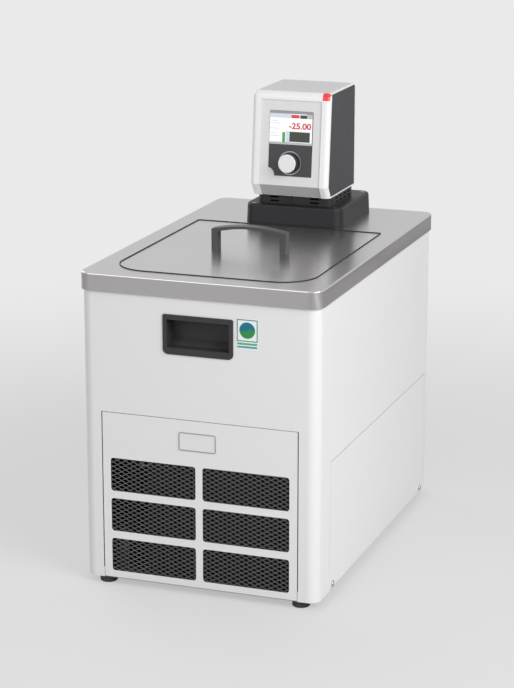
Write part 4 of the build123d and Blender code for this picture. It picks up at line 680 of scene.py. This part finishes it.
def glow(name, colour, strength):
    """Lit part of the picture: its colour shines a little by itself."""
    material = finish(name, colour, screen_gloss, tone=0.015, grain=1200, relief=0.0)
    shader = material.node_tree.nodes["Principled BSDF"]
    shader.inputs["Emission Color"].default_value = colour + (1,)
    shader.inputs["Emission Strength"].default_value = strength
    return material


def lean_on_face(piece):
    """Stand a piece drawn flat up against the leaning face, its base at the chin line."""
    piece.rotation_euler = (math.radians(90) - face_lean, 0, 0)
    piece.location = face_foot
    settle(piece)


def up_face(height):
    """Length up the face to a height above the bench."""
    return (height - face_foot[2]) / math.cos(face_lean)


def patch(name, left, right, low, high, level, material, corner=0.0):
    """Thin printed or lit patch, drawn flat; level is how many films it lies above the glass."""
    base = -glass_back + level * screen_film
    piece = block(name, (left, up_face(low), base), (right, up_face(high), base + screen_film))
    if corner:
        round_corners(piece, 2, corner, 3)
    piece.data.materials.append(material)
    lean_on_face(piece)
    return piece


screen_white = glow("screen_white", (0.86, 0.87, 0.89), 0.22)
screen_header = glow("screen_header", (0.62, 0.66, 0.76), 0.12)
screen_bar = glow("screen_bar", (0.30, 0.30, 0.31), 0.05)
screen_red = glow("screen_red", (0.62, 0.06, 0.07), 0.10)
screen_dark = glow("screen_dark", (0.045, 0.055, 0.045), 0.02)
screen_green = glow("screen_green", (0.05, 0.36, 0.10), 0.10)
screen_grey = glow("screen_grey", (0.50, 0.50, 0.51), 0.05)
screen_line = glow("screen_line", (0.62, 0.62, 0.64), 0.10)

# Each patch: left, right, low and high in metres, its level above the glass, and its colour.
patches = [
    patch("screen_surround", -0.0312, 0.0413, 0.6232, 0.6765, 0, screen_bar, 0.0008),
    patch("screen_lower_edge", -0.0310, 0.0411, 0.6234, 0.6270, 1, screen_grey),
    patch("screen_field", -0.0310, 0.0405, 0.6270, 0.6722, 1, screen_white),
    patch("screen_header_left", -0.0310, 0.0050, 0.6655, 0.6722, 2, screen_header),
    patch("screen_header_right", 0.0310, 0.0405, 0.6655, 0.6722, 2, screen_grey),
    patch("screen_red_key", 0.0052, 0.0187, 0.6657, 0.6708, 3, screen_red, 0.0006),
    patch("screen_dark_key", 0.0200, 0.0314, 0.6655, 0.6708, 3, screen_dark, 0.0006),
    patch("screen_chart", 0.0030, 0.0372, 0.6280, 0.6440, 2, screen_dark),
    patch("screen_bar_green", -0.0092, -0.0044, 0.6264, 0.6428, 2, screen_green),
    patch("screen_scale", -0.0030, 0.0030, 0.6270, 0.6450, 2, screen_header),
]
line_left, line_height = -0.0290, 0.0009
for row, (low, length) in enumerate(((0.6600, 0.012), (0.6560, 0.016), (0.6480, 0.014),
                                     (0.6400, 0.010), (0.6360, 0.015))):
    patches.append(patch(f"screen_line_{row}", line_left, line_left + length, low,
                         low + line_height, 2, screen_line))


figure_weight = 0.03


def figures(name, words, left, right, low, high, level, material):
    """Figures cut from thin film, drawn flat and then stood on the face."""
    clear_selection()
    bpy.ops.object.text_add(location=(0, 0, 0))
    piece = bpy.context.object
    piece.name = name
    piece.data.body = words
    piece.data.extrude = 0.5
    piece.data.offset = figure_weight
    bpy.ops.object.convert(target="MESH")
    piece = bpy.context.object
    across = [corner[0] for corner in piece.bound_box]
    up = [corner[1] for corner in piece.bound_box]
    wide = (right - left) / (max(across) - min(across))
    tall = (up_face(high) - up_face(low)) / (max(up) - min(up))
    piece.scale = (wide, tall, screen_film)
    piece.location = (left - wide * min(across), up_face(low) - tall * min(up),
                      -glass_back + (level + 0.5) * screen_film)
    settle(piece)
    piece.data.materials.append(material)
    lean_on_face(piece)
    return piece


patches.append(figures("screen_figures", "-25.00", 0.0014, 0.0389, 0.6482, 0.6582, 2,
                       screen_red))
only(*patches[1:], patches[0])
bpy.ops.object.join()
picture = bpy.context.object
picture.name = "screen_picture"
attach(picture, "base")


# Knob. Dark plastic knob with a pale, slightly metallic cap. It stands in a thin bright metal
# ring on the glass.
knob_dark = finish("knob_dark", (0.040, 0.038, 0.041), 0.38, tone=0.08, grain=1500, relief=0.08)
knob_cap = finish("knob_cap", (0.78, 0.77, 0.78), 0.32, metal=0.25, tone=0.015, grain=1400,
                  relief=0.04)
ring_silver = finish("ring_silver", (0.42, 0.42, 0.43), 0.28, metal=0.9, tone=0.05, grain=900,
                     relief=0.03)
dress(knob_dark, "control_knob")
dress(knob_cap, "knob_cap")
dress(ring_silver, "knob_ring")
